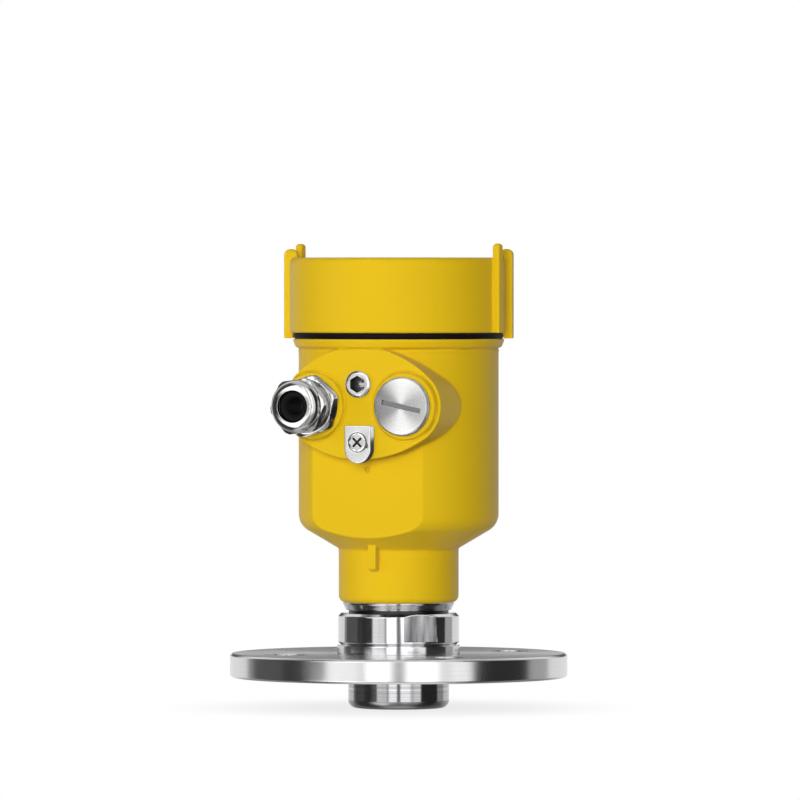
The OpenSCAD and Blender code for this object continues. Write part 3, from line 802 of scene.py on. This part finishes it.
def cast_skin(node: str, voxel: float, rounds: int, share: float,
              press: Optional[Callable[[Mesh], None]] = None) -> Mesh:
    """Copies a CAD node as a casting: every edge rounded and every corner filleted.

    Args:
        node: The CAD node's name.
        voxel: Grid size of the new skin.
        rounds: Rounds of smoothing.
        share: Share of the faces that is kept at the end.
        press: A change made to the skin while it is still fine.

    Returns:
        The new mesh.
    """
    mesh = through_modifiers(mesh_of(solid_of(node), node), [
        ("REMESH", {"mode": "VOXEL", "voxel_size": voxel, "use_smooth_shade": True})])
    if press is not None:
        press(mesh)
    return through_modifiers(mesh, [("SMOOTH", {"factor": 0.5, "iterations": rounds}),
                                    ("DECIMATE", {"ratio": share})])


@dataclass(frozen=True)
class Thread:
    """One right-handed thread, cut on a round shank.

    Args:
        start: Point on the axis where the thread starts.
        axis: Which way it runs.
        length: How far it runs.
        crest: Radius of the crests.
        depth: Depth of the thread.
        pitch: Distance from crest to crest.
        steps: Points to a turn.
    """

    start: Vector
    axis: Axis
    length: float
    crest: float
    depth: float
    pitch: float
    steps: int = 72

    def cut(self, points: Iterable[Union[BMVert, MeshVertex]],
            slack: float = 0.35 * MM) -> None:
        """Takes a shank down to the thread's root.

        Args:
            points: The points of the mesh that carries the thread.
            slack: How far from the crest's radius a point may lie to be taken down.
        """
        way, root = self.axis.way, self.crest - self.depth
        for point in points:
            offset = point.co - self.start
            along = offset.dot(way)
            radius = (offset - along * way).length
            if -slack < along < self.length + slack and abs(radius - self.crest) < slack:
                centre = self.start + along * way
                point.co = centre + (point.co - centre) * (root / radius)

    def mesh(self, name: str) -> Mesh:
        """Builds the thread's ridge as one closed coil.

        Args:
            name: The mesh's name.

        Returns:
            The mesh.
        """
        way = self.axis.way
        side = Vector((1.0, 0.0, 0.0))
        turn = Matrix.Rotation(2 * math.pi / self.steps, 3, way)
        root = self.crest - self.depth - HAIR
        half = 0.5 * self.pitch
        profile = [(-0.44, root), (-0.09, self.crest), (0.09, self.crest), (0.44, root)]
        total = int(self.steps * (self.length - self.pitch) / self.pitch)
        fade = self.steps // 3
        solid = bmesh.new()
        rows: list[list[BMVert]] = []
        for index in range(total + 1):
            strength = min(1.0, index / fade, (total - index) / fade)
            middle = half + index * self.pitch / self.steps
            row = []
            for offset, radius in profile:
                out = root + (radius - root) * strength
                point = self.start + way * (middle + offset * self.pitch) + side * out
                row.append(solid.verts.new(point))
            rows.append(row)
            side = turn @ side
        for first, second in zip(rows, rows[1:]):
            for k, after in ((0, 1), (1, 2), (2, 3), (3, 0)):
                solid.faces.new((first[k], first[after], second[after], second[k]))
        solid.faces.new(rows[0])
        solid.faces.new(rows[-1][::-1])
        bmesh.ops.recalc_face_normals(solid, faces=solid.faces)
        mesh = mesh_of(solid, name)
        mesh.set_sharp_from_angle(angle=math.radians(35))
        return mesh


def give_faces(mesh: Mesh, material: Material,
               where: Callable[[MeshPolygon], bool]) -> None:
    """Gives some of a mesh's faces a material of their own.

    Args:
        mesh: The mesh.
        material: The material.
        where: Tells which faces take it.
    """
    mesh.materials.append(material)
    index = len(mesh.materials) - 1
    for face in mesh.polygons:
        if where(face):
            face.material_index = index


def dress(material: Material, nodes: Iterable[str]) -> None:
    """Gives CAD nodes that stay as they are a better material.

    Args:
        material: The material.
        nodes: The nodes' names.
    """
    for node in nodes:
        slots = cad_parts[node].data.materials
        slots.clear()
        slots.append(material)
        log.info("%s: carried over", node)


def middle_of(node: str) -> Vector:
    """Gives the middle of a CAD node's box."""
    low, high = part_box(node)
    return (Vector(low) + Vector(high)) / 2


def reach_of(node: str, where: Callable[[float], bool], centre: Vector) -> float:
    """Measures how far a CAD node reaches from an axis that runs along Y.

    Args:
        node: The CAD node's name.
        where: Tells at which Y a point counts.
        centre: A point on the axis.

    Returns:
        The largest distance.
    """
    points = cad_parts[node].data.vertices
    return max((p.co.xz - centre.xz).length for p in points if where(p.co.y))


def recess_of(node: str, low: float, high: float,
              radius: float) -> Callable[[MeshPolygon], bool]:
    """Makes a test for the faces of a recess in a fitting's front.

    Args:
        node: The fitting's CAD node.
        low: How far behind the front the recess starts.
        high: How far behind the front it ends.
        radius: How far it reaches from the fitting's axis.

    Returns:
        The test.
    """
    front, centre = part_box(node)[0].y, middle_of(node).xz
    return lambda face: (low < face.center.y - front < high
                         and (face.center.xz - centre).length < radius)


# ----------------------------------------------------------------- sub-assemblies


@dataclass
class ProcessSide:
    """The mounting flange and the fitting that the housing swivels on.

    Args:
        flange_edge: Width of the flange's broken edges.
        fitting_edge: Width of the fitting's broken edges.
        collar_h: Height of the collar's band of painted shade below the neck.
        groove_z: How far below the neck the middle of the groove lies.
        groove_w: Width of the groove.
        across_flats: Distance between the two spanner flats.
        foot_round: Height of the rounding at the foot of the stub.
        foot_slope: How far a face has to point down to belong to that rounding, which takes
            painted shade.
    """

    flange_edge: float = 0.25 * MM
    fitting_edge: float = 0.2 * MM
    collar_h: float = 3.4 * MM
    groove_z: float = 3.7 * MM
    groove_w: float = 1.4 * MM
    across_flats: float = 48.0 * MM
    foot_round: float = 3.4 * MM
    foot_slope: float = 0.12

    def build(self) -> None:
        """Builds the flange and the fitting, and dresses what is inside."""
        plate = TurnedMetal("flange_steel", (0.80, 0.80, 0.81), 0.25, spacing=0.7 * MM,
                            depth=0.0015 * MM, anisotropy=0.7, shade=0.9).make()
        polished = TurnedMetal("fitting_steel", (0.78, 0.78, 0.79), 0.13, spacing=0.6 * MM,
                               depth=0.003 * MM, anisotropy=0.7).make()
        mesh = broken_edges("flange", self.flange_edge)
        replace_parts(show("flange_plate", mesh, plate, "process"), "flange")
        mesh = broken_edges("process_fitting", self.fitting_edge, sharp_from=12.0)
        fitting = show("fitting_body", mesh, polished, "process")
        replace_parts(fitting, "process_fitting")
        self.dress_fitting(mesh)
        dress(Moulding("lens_ptfe", (0.82, 0.82, 0.80), 0.38, bloom=0.03).make(),
              ["antenna_lens"])
        dress(Moulding("seal_rubber", (0.012, 0.012, 0.013), 0.55).make(),
              ["antenna_seal", "neck_seal"])
        dress(TurnedMetal("guide_brass", (0.72, 0.50, 0.20), 0.25).make(), ["waveguide"])
        dress(PlatedMetal("module_case", (0.58, 0.60, 0.62), 0.38).make(), ["radar_module"])

    def dress_fitting(self, mesh: Mesh) -> None:
        """Gives the fitting's stub, foot, collar, groove and flats their own steels; the stub,
        foot, collar and groove steels carry painted shade.

        Args:
            mesh: The fitting's mesh.
        """
        # coarser turning marks, with a darker base colour that is painted shade under the
        # flange
        coarse = TurnedMetal("stub_shaded_steel", (0.62, 0.62, 0.63), 0.18, spacing=1.2 * MM,
                             depth=0.008 * MM, anisotropy=0.85, shade=0.5).make()
        # painted shade: a darker copy of the fitting steel for the collar under the neck
        collar = TurnedMetal("collar_shaded_steel", (0.52, 0.52, 0.53), 0.15, spacing=0.8 * MM,
                             anisotropy=0.7, shade=0.7).make()
        # painted shade: near-black steel for the groove, which lies in shadow
        groove = TurnedMetal("groove_painted_shade", (0.06, 0.06, 0.06), 0.4).make()
        # painted shade: dark steel on the downward-facing rounding at the stub's foot
        foot = TurnedMetal("stub_foot_painted_shade", (0.34, 0.34, 0.35), 0.32, spacing=1.2 * MM,
                           anisotropy=0.5, shade=0.6).make()
        milled = MilledMetal("spanner_flat_steel").make()
        sealing_face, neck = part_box("flange")[0].z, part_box("housing")[0].z
        foot_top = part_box("process_fitting")[0].z + self.foot_round
        middle = neck - self.groove_z
        give_faces(mesh, coarse, lambda face: face.center.z < sealing_face)
        give_faces(mesh, foot, lambda face: face.center.z < foot_top
                   and -face.normal.z > self.foot_slope)
        give_faces(mesh, collar,
                   lambda face: neck - self.collar_h < face.center.z < neck - HAIR)
        give_faces(mesh, groove, lambda face: abs(face.center.z - middle)
                   < 0.5 * self.groove_w and face.normal.xy.length > 0.5)
        give_faces(mesh, milled, self.on_flat)

    def on_flat(self, face: MeshPolygon) -> bool:
        """Tells whether a face lies on one of the two spanner flats.

        Args:
            face: The face.

        Returns:
            Whether it faces along the flats' axis and lies at their distance.
        """
        out = Vector((1.0, -1.0, 0.0)).normalized()
        off = abs(face.center.dot(out)) - 0.5 * self.across_flats
        return abs(face.normal.dot(out)) > 0.999 and abs(off) < HAIR


@dataclass
class Castings:
    """The two yellow castings, the thread between them and their seal.

    Args:
        voxel: Grid size of the castings' skins.
        rounds: Rounds of smoothing on the skins.
        thread_pitch: Pitch of the lid's thread.
        thread_depth: Depth of the lid's thread.
        thread_foot: How far above the seal's foot the thread starts.
        thread_less: How much shorter than the neck the thread is.
        rim_out: How far the rim stands out from the body.
        crease_drop: How far below the rim's top the crease lies.
        crease_reach: How far inside and outside the body's radius it works.
        collar_r: Radius of the raised collar round an entry.
        collar_h: Height of that collar.
        line_w: Half the width of a pressed line.
        line_sink: Depth of a pressed line.
        lug_w: Width of a lug rib.
        lugs: Each rib's angle in degrees, and how far below the top its tip lies.
    """

    voxel: float = 0.42 * MM
    rounds: int = 3
    thread_pitch: float = 2.0 * MM
    thread_depth: float = 1.0 * MM
    thread_foot: float = 1.6 * MM
    thread_less: float = 2.2 * MM
    rim_out: float = 2.3 * MM
    crease_drop: float = 4.1 * MM
    crease_reach: tuple[float, float] = (0.3 * MM, 1.7 * MM)
    collar_r: float = 13.7 * MM
    collar_h: float = 1.2 * MM
    line_w: float = 0.85 * MM
    line_sink: float = 0.8 * MM
    lug_w: float = 3.8 * MM
    lugs: tuple[tuple[float, float], ...] = (
        (-6.0, 0.0), (174.0, 0.0), (12.0, 2.2 * MM), (192.0, 2.2 * MM))

    def build(self) -> None:
        """Builds both castings, the thread and the seal."""
        coat = PowderCoat("yellow_powder_coat", (0.83, 0.545, 0.006)).make()
        bare = TurnedMetal("machined_aluminium", (0.72, 0.72, 0.73), 0.3,
                           spacing=0.4 * MM).make()
        neck = self.neck_thread()
        mesh = cast_skin("housing", self.voxel, self.rounds, 0.18, self.press_lines)
        neck.cut(mesh.vertices, 0.5 * MM)
        housing = show("housing_casting", mesh, coat, "housing")
        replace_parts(housing, "housing")
        show("lid_neck_thread", neck.mesh("lid_neck_thread"), bare, "housing")
        mesh = cast_skin("lid", self.voxel, self.rounds, 0.2, self.round_lugs)
        lid = show("lid_casting", mesh, coat, "lid")
        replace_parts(lid, "lid")
        for casting in (housing, lid):
            casting.visible_glossy = False
        dress(Moulding("lid_seal_rubber", (0.004, 0.003, 0.004), 0.6, bloom=0.002,
                       gloss=0.1).make(), ["lid_seal"])

    def press_lines(self, mesh: Mesh) -> None:
        """Presses the crease under the rim and a line round each entry's collar.

        Args:
            mesh: The housing's skin.
        """
        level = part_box("lid_seal")[0].z - self.crease_drop
        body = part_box("housing")[1].y - self.rim_out
        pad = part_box("plug_seal")[1].y + self.collar_h
        ring = self.collar_r + 0.5 * MM
        entries = [middle_of(node).xz for node in ("gland_nut", "blanking_plug")]
        for vertex in mesh.vertices:
            place = vertex.co
            away = abs(place.z - level)
            if away < self.line_w:
                radius = place.xy.length
                if -self.crease_reach[0] < radius - body < self.crease_reach[1]:
                    share = 1.0 - self.line_depth(away) / radius
                    vertex.co = (place.x * share, place.y * share, place.z)
            elif abs(place.y - pad) < 0.7 * MM:
                away = min(abs((place.xz - entry).length - ring) for entry in entries)
                if away < self.line_w:
                    vertex.co.y += self.line_depth(away)

    def round_lugs(self, mesh: Mesh) -> None:
        """Rounds the tips of the lid's lug ribs across their width.

        Args:
            mesh: The lid's skin.
        """
        top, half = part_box("lid")[1].z, 0.5 * self.lug_w
        ribs = [(Vector((math.cos(math.radians(turn)), math.sin(math.radians(turn)))),
                 top - drop - half) for turn, drop in self.lugs]
        lowest = min(spring for _, spring in ribs)
        for vertex in mesh.vertices:
            place = vertex.co
            if place.z < lowest:
                continue
            for out, spring in ribs:
                aside = abs(place.x * out.y - place.y * out.x)
                if place.xy.dot(out) > 0.0 and aside < half + 0.3 * MM:
                    crown = math.sqrt(max(0.0, half * half - aside * aside))
                    vertex.co.z = min(place.z, spring + crown)

    def line_depth(self, away: float) -> float:
        """Gives the depth of a pressed line at a distance from its middle."""
        return self.line_sink * 0.5 * (1.0 + math.cos(math.pi * away / self.line_w))

    def neck_thread(self) -> Thread:
        """Measures the threaded neck from the seal round its foot.

        Returns:
            The thread.
        """
        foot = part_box("lid_seal")[0].z
        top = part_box("housing")[1].z
        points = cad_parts["housing"].data.vertices
        crest = max(p.co.xy.length for p in points if p.co.z > top - TOUCH)
        return Thread(Vector((0, 0, foot + self.thread_foot)), Axis.UPRIGHT,
                      top - foot - self.thread_less, crest, self.thread_depth,
                      self.thread_pitch, 120)


@dataclass
class Entries:
    """The cable gland, the blanking plug and the vent plug on the entry pad.

    Args:
        edge: Width of the broken edges on plated pieces.
        entry_pitch: Pitch of the entry threads.
        thread_depth: Depth of the entry threads.
        hexagon_l: Length of the gland's body between its seal and its thread.
        slot: Where the plug's slot starts and ends behind its front, and its reach.
        vent_edge: Width of the vent plug's broken edges.
        vent_pitch: Pitch of the vent plug's thread.
        vent_thread_depth: Depth of that thread.
        socket_start: How far behind the vent plug's front its socket starts.
        socket_r: Radius that its socket stays within.
    """

    edge: float = 0.18 * MM
    entry_pitch: float = 1.5 * MM
    thread_depth: float = 0.8 * MM
    hexagon_l: float = 5.7 * MM
    slot: tuple[float, float, float] = (0.25 * MM, 1.5 * MM, 9.0 * MM)
    vent_edge: float = 0.1 * MM
    vent_pitch: float = 1.0 * MM
    vent_thread_depth: float = 0.5 * MM
    socket_start: float = 0.25 * MM
    socket_r: float = 3.7 * MM

    def build(self) -> None:
        """Builds the three fittings and dresses their seals."""
        self.gland()
        self.blanking_plug()
        self.vent_plug()
        rubber = Moulding("entry_seal_rubber", (0.010, 0.010, 0.011), 0.55).make()
        dress(rubber, ["gland_seal", "plug_seal", "vent_seal"])

    @staticmethod
    def plug_thread(node: str, seal: str, depth: float, pitch: float,
                    steps: int = 72) -> Thread:
        """Measures a plug's thread, which runs from its inner end to its seal.

        Args:
            node: The plug's CAD node.
            seal: Its seal's CAD node.
            depth: Depth of the thread.
            pitch: Its pitch.
            steps: Points to a turn.

        Returns:
            The thread.
        """
        centre = middle_of(node)
        inner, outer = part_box(node)[1].y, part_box(seal)[1].y
        shank = reach_of(node, lambda y: y > outer + 0.5 * MM, centre)
        return Thread(Vector((centre.x, inner, centre.z)), Axis.OUT_OF_PAD, inner - outer,
                      shank, depth, pitch, steps)

    def gland(self) -> None:
        """Builds the gland's body with its thread and painted shade in its bore, the dome nut
        and the rubber insert.
        """
        nickel = PlatedMetal("gland_nickel", (0.64, 0.635, 0.62), 0.12).make()
        bore = PlatedMetal("bore_painted_shade", (0.03, 0.03, 0.03), 0.6).make()
        centre = middle_of("gland_nut")
        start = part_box("gland_seal")[0].y - self.hexagon_l
        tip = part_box("gland_body")[0].y
        sleeve = reach_of("gland_body", lambda y: y < tip + TOUCH, centre)
        run = Thread(Vector((centre.x, start, centre.z)), Axis.OUT_OF_PAD, start - tip, sleeve,
                     self.thread_depth, self.entry_pitch)
        mesh = broken_edges("gland_body", self.edge, thread=run)
        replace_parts(show("gland_shell", mesh, nickel, "housing"), "gland_body")
        # painted shade: faces that point towards the gland's axis take near-black
        give_faces(mesh, bore, lambda face: face.normal.xz.dot(face.center.xz - centre.xz)
                   < -0.5 * (face.center.xz - centre.xz).length)
        show("gland_thread", run.mesh("gland_thread"), nickel, "housing")
        mesh = broken_edges("gland_nut", self.edge, 3)
        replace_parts(show("gland_dome", mesh, nickel, "gland_nut"), "gland_nut")
        insert = Moulding("insert_rubber", (0.006, 0.006, 0.006), 0.6, bloom=0.003,
                          gloss=0.12).make()
        mesh = eased(broken_edges("gland_insert", 0.25 * MM, 3), "gland_insert")
        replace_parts(show("gland_grommet", mesh, insert, "gland_insert"),
                    "gland_insert")

    def blanking_plug(self) -> None:
        """Builds the slotted plug with its turned face, painted shade in its slot, and its
        thread.
        """
        face = TurnedMetal("plug_nickel", (0.66, 0.66, 0.655), 0.3, Axis.OUT_OF_PAD,
                           tuple(middle_of("blanking_plug")), spacing=0.6 * MM,
                           depth=0.001 * MM, anisotropy=0.97, shade=0.92, dish=12.0).make()
        run = self.plug_thread("blanking_plug", "plug_seal", self.thread_depth,
                               self.entry_pitch)
        mesh = broken_edges("blanking_plug", self.edge, thread=run)
        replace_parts(show("plug_head", mesh, face, "blanking_plug"), "blanking_plug")
        # painted shade: darker plated steel on the faces inside the slot
        dark = PlatedMetal("slot_painted_shade", (0.27, 0.27, 0.27), 0.22).make()
        give_faces(mesh, dark, recess_of("blanking_plug", *self.slot))
        show("plug_thread", run.mesh("plug_thread"), face, "blanking_plug")

    def vent_plug(self) -> None:
        """Builds the small vent plug with painted shade in its socket, and its thread."""
        centre = middle_of("vent_plug")
        face = TurnedMetal("vent_nickel", (0.78, 0.77, 0.75), 0.22, Axis.OUT_OF_PAD,
                           tuple(centre), anisotropy=0.5).make()
        run = self.plug_thread("vent_plug", "vent_seal", self.vent_thread_depth,
                               self.vent_pitch, 48)
        mesh = broken_edges("vent_plug", self.vent_edge, thread=run)
        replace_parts(show("vent_head", mesh, face, "vent_plug"), "vent_plug")
        # painted shade: near-black plated steel on the socket's faces
        dark = PlatedMetal("socket_painted_shade", (0.10, 0.10, 0.10), 0.35).make()
        half = centre.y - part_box("vent_plug")[0].y
        give_faces(mesh, dark, recess_of("vent_plug", self.socket_start, half, self.socket_r))
        show("vent_thread", run.mesh("vent_thread"), face, "vent_plug")


@dataclass
class GroundTerminal:
    """The ground terminal under the entries: base, clamp and screw.

    Args:
        base_edge: Width of the base's broken edges.
        clamp_edge: Width of the clamp's broken edges.
        screw_edge: Width of the screw's broken edges.
        recess: Where the screw's recess starts and ends behind its front, and its reach.
    """

    base_edge: float = 0.15 * MM
    clamp_edge: float = 0.35 * MM
    screw_edge: float = 0.1 * MM
    recess: tuple[float, float, float] = (0.15 * MM, 1.6 * MM, 3.2 * MM)

    def build(self) -> None:
        """Builds the terminal's three pieces."""
        metal = PlatedMetal("terminal_nickel", (0.86, 0.86, 0.85), 0.17).make()
        steel = PlatedMetal("terminal_screw_steel", (0.78, 0.78, 0.77), 0.2).make()
        # painted shade: near-black steel for the faces in the screw's recess
        dark = PlatedMetal("recess_painted_shade", (0.05, 0.05, 0.05), 0.4).make()
        mesh = broken_edges("ground_base", self.base_edge)
        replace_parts(show("terminal_base", mesh, metal, "housing"), "ground_base")
        mesh = eased(broken_edges("ground_clamp", self.clamp_edge, 3), "ground_clamp")
        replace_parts(show("terminal_clamp", mesh, metal, "ground_clamp"),
                    "ground_clamp")
        mesh = eased(broken_edges("ground_screw", self.screw_edge), "ground_screw")
        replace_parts(show("terminal_screw", mesh, steel, "ground_screw"),
                    "ground_screw")
        give_faces(mesh, dark, recess_of("ground_screw", *self.recess))


@dataclass
class Electronics:
    """What sits in the wiring chamber: potted cup, board, cover, clamps and screws.

    Args:
        edge: Width of the mouldings' broken edges.
    """

    edge: float = 0.3 * MM

    def build(self) -> None:
        """Builds the mouldings and dresses the small pieces."""
        dark = Moulding("cup_plastic", (0.035, 0.038, 0.045), 0.45).make()
        grey = Moulding("block_plastic", (0.10, 0.115, 0.13), 0.5).make()
        zinc = PlatedMetal("zinc_steel_plate", (0.66, 0.66, 0.64), 0.3).make()
        for node, name, finish, slot in (
                ("electronics_cup", "potted_cup", dark, "dark_plastic"),
                ("module_cover", "cup_cover", dark, "dark_plastic"),
                ("terminal_block", "wire_block", grey, "grey_plastic")):
            mesh = broken_edges(node, self.edge)
            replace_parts(show(name, mesh, finish, "housing"), node)
        dress(BoardLaminate("board_laminate").make(), ["circuit_board"])
        dress(PlatedMetal("contact_gold", (0.83, 0.62, 0.25), 0.2).make(), ["contact_pins"])
        dress(Moulding("lead_jacket", (0.015, 0.015, 0.016), 0.5).make(), ["signal_lead"])
        dress(zinc, ["neck_lock_screw", "module_screws", "terminal_screws",
                     "inner_ground_clamp", "inner_ground_screw"])


# ------------------------------------------------------------------------- studio


@dataclass
class Studio:
    """The white studio: camera, soft lamps, banded surroundings and floor.

    Args:
        azimuth: Where the camera stands, in degrees from -Y towards +X.
        pitch: How far the camera looks down, in degrees.
        distance: Camera's distance from its target.
        lens: Focal length, in millimetres.
        target: What the camera looks at.
        bands: Brightness of the surroundings that gloss shows, round the horizon from
            behind the object: end angle in degrees and level.
    """

    azimuth: float = 23.0
    pitch: float = 0.8
    distance: float = 3.76
    lens: float = 407.7
    target: tuple[float, float, float] = (0.0006, 0.0, 0.115)
    bands: tuple[tuple[float, float], ...] = (
        (-126, 0.85), (-118, 0.26), (-86, 0.1), (-73, 0.05), (-51, 0.03), (-40, 0.95),
        (-27, 0.85), (-23, 0.4), (-4, 1.7), (4, 0.22), (27, 1.7), (36, 0.9), (52, 1.15),
        (100, 0.03), (124, 0.42), (180, 0.85))

    def build(self) -> None:
        """Builds the camera, the lamps, the world and the floor."""
        self.camera()
        self.world()
        self.lamp("key_lamp", Vector((0.56, -2.44, 0.4)), 1.0, 44.0)
        self.lamp("fill_lamp", Vector((-1.75, -1.64, 0.15)), 1.2, 11.5)
        self.lamp("back_lamp", Vector((-0.95, 2.24, 1.3)), 1.5, 34.0)
        self.floor()
        bpy.context.scene.view_settings.view_transform = "Standard"

    def back(self) -> Vector:
        """Gives the direction from the target to the camera."""
        turn, tilt = math.radians(self.azimuth), math.radians(self.pitch)
        return Vector((math.sin(turn) * math.cos(tilt), -math.cos(turn) * math.cos(tilt),
                       math.sin(tilt)))

    @staticmethod
    def aim(thing: Object, place: Vector, way: Vector) -> None:
        """Stands a camera or lamp somewhere and points it.

        Args:
            thing: The camera or lamp.
            place: Where it stands.
            way: Where it points.
        """
        thing.location = place
        thing.rotation_mode = "QUATERNION"
        thing.rotation_quaternion = way.to_track_quat("-Z", "Y")

    def camera(self) -> None:
        """Sets up the camera."""
        data = bpy.data.cameras.new("view")
        data.sensor_width = 36.0
        data.lens = self.lens
        data.clip_end = 50.0
        camera = put("view", data)
        self.aim(camera, Vector(self.target) + self.distance * self.back(), -self.back())
        bpy.context.scene.camera = camera

    def lamp(self, name: str, place: Vector, size: float, power: float) -> None:
        """Hangs a soft square lamp that faces the object.

        Args:
            name: The lamp's name.
            place: Where it hangs.
            size: Length of its side.
            power: Its power, in watts.
        """
        data = bpy.data.lights.new(name, "AREA")
        data.size = size
        data.energy = power
        lamp = put(name, data)
        self.aim(lamp, place, Vector(self.target) - place)
        lamp.visible_glossy = False

    def world(self) -> None:
        """Surrounds the object: white to the camera, banded to gloss, plain otherwise."""
        world = bpy.data.worlds.new("studio")
        bpy.context.scene.world = world
        world.use_nodes = True
        bench = NodeBench(world.node_tree)
        way = bench.add("SeparateXYZ", {0: bench.add("TexCoord").outputs["Generated"]})
        turn = math.radians(self.azimuth)
        across = bench.math("MULTIPLY_ADD", way.outputs[0], math.cos(turn),
                            bench.math("MULTIPLY", way.outputs[1], math.sin(turn)))
        towards = bench.math("MULTIPLY_ADD", way.outputs[0], math.sin(turn),
                             bench.math("MULTIPLY", way.outputs[1], -math.cos(turn)))
        angle = bench.math("ARCTAN2", across, towards)
        ramp = bench.add("ValToRGB", {0: bench.span(angle, -math.pi, math.pi)})
        self.fill_ramp(ramp.color_ramp)
        rise = way.outputs[2]
        behind = bench.math("MULTIPLY", bench.span(towards, -0.75, -0.9),
                            bench.span(rise, 0.05, 0.12))
        below = bench.span(rise, -0.5, -0.2, 0.7, 0.0, smooth=True)
        slant = bench.span(bench.math("ABSOLUTE", rise), 0.12, 0.3, smooth=True)
        left = bench.math("MULTIPLY", bench.span(across, -0.3, -0.45),
                          bench.span(towards, 0.3, 0.5))
        flank = bench.math("MULTIPLY", slant, left)
        floor = bench.span(rise, -0.9, -0.97)
        ceiling = bench.span(rise, 0.85, 0.96, smooth=True)
        banded = ramp.outputs[0]
        for share, level in ((behind, 0.1), (below, 0.05), (flank, 2.3), (floor, 0.9),
                             (ceiling, 0.75)):
            banded = bench.blend(share, banded, (level, level, level))
        light = bench.add("LightPath")
        plain = bench.blend(light.outputs["Is Glossy Ray"], (0.21, 0.21, 0.21), banded)
        seen = bench.blend(light.outputs["Is Camera Ray"], plain, (1.0, 1.0, 1.0))
        bench.feed(world.node_tree.nodes["Background"].inputs[0], seen)

    def fill_ramp(self, ramp: ColorRamp) -> None:
        """Writes the bands into a colour ramp, with short blends between them.

        Args:
            ramp: The ramp to fill.
        """
        stops: list[tuple[float, float]] = []
        start = -180.0
        for end, level in self.bands:
            blend = min(1.4, 0.2 * (end - start))
            stops += [(start + blend, level), (end - blend, level)]
            start = end
        while len(ramp.elements) > 1:
            ramp.elements.remove(ramp.elements[0])
        for index, (angle, level) in enumerate(stops):
            place = (angle + 180.0) / 360.0
            element = ramp.elements[0] if index == 0 else ramp.elements.new(place)
            element.position = place
            element.color = (level, level, level, 1.0)

    def floor(self) -> None:
        """Lays the floor under the stub: white, with a soft shadow near the object."""
        solid = bmesh.new()
        bmesh.ops.create_circle(solid, cap_ends=True, segments=96, radius=6.0)
        mesh = mesh_of(solid, "floor")
        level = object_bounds()[0][2]
        floor = put("floor", mesh)
        floor.location.z = level
        bench = MaterialBench.start("floor_white", 0.9)
        bench.colour((0.62, 0.62, 0.62))
        place = bench.add("TexCoord").outputs["Object"]
        distance = bench.add("VectorMath", {0: place}, operation="LENGTH").outputs["Value"]
        share = bench.span(distance, 0.03, 0.11, 0.8, 1.0, smooth=True)
        seen = bench.math("MULTIPLY", bench.add("LightPath").outputs["Is Camera Ray"], share)
        glow = bench.add("Emission", {"Color": (1, 1, 1, 1), "Strength": 1.0})
        mix = bench.add("MixShader", {0: seen, 1: bench.shader.outputs[0], 2: glow.outputs[0]})
        output = bench.tree.nodes["Material Output"]
        bench.feed(output.inputs["Surface"], mix.outputs[0])
        mesh.materials.append(bench.material)
        floor.visible_glossy = False
        floor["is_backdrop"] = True


def main() -> None:
    """Builds every sub-assembly and the studio."""
    logging.basicConfig(level=logging.INFO, format="%(name)s: %(message)s")
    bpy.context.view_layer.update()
    Studio().build()
    for assembly in (ProcessSide(), Castings(), Entries(), GroundTerminal(), Electronics()):
        log.info("building %s", type(assembly).__name__)
        assembly.build()


if __name__ == "__main__":
    main()
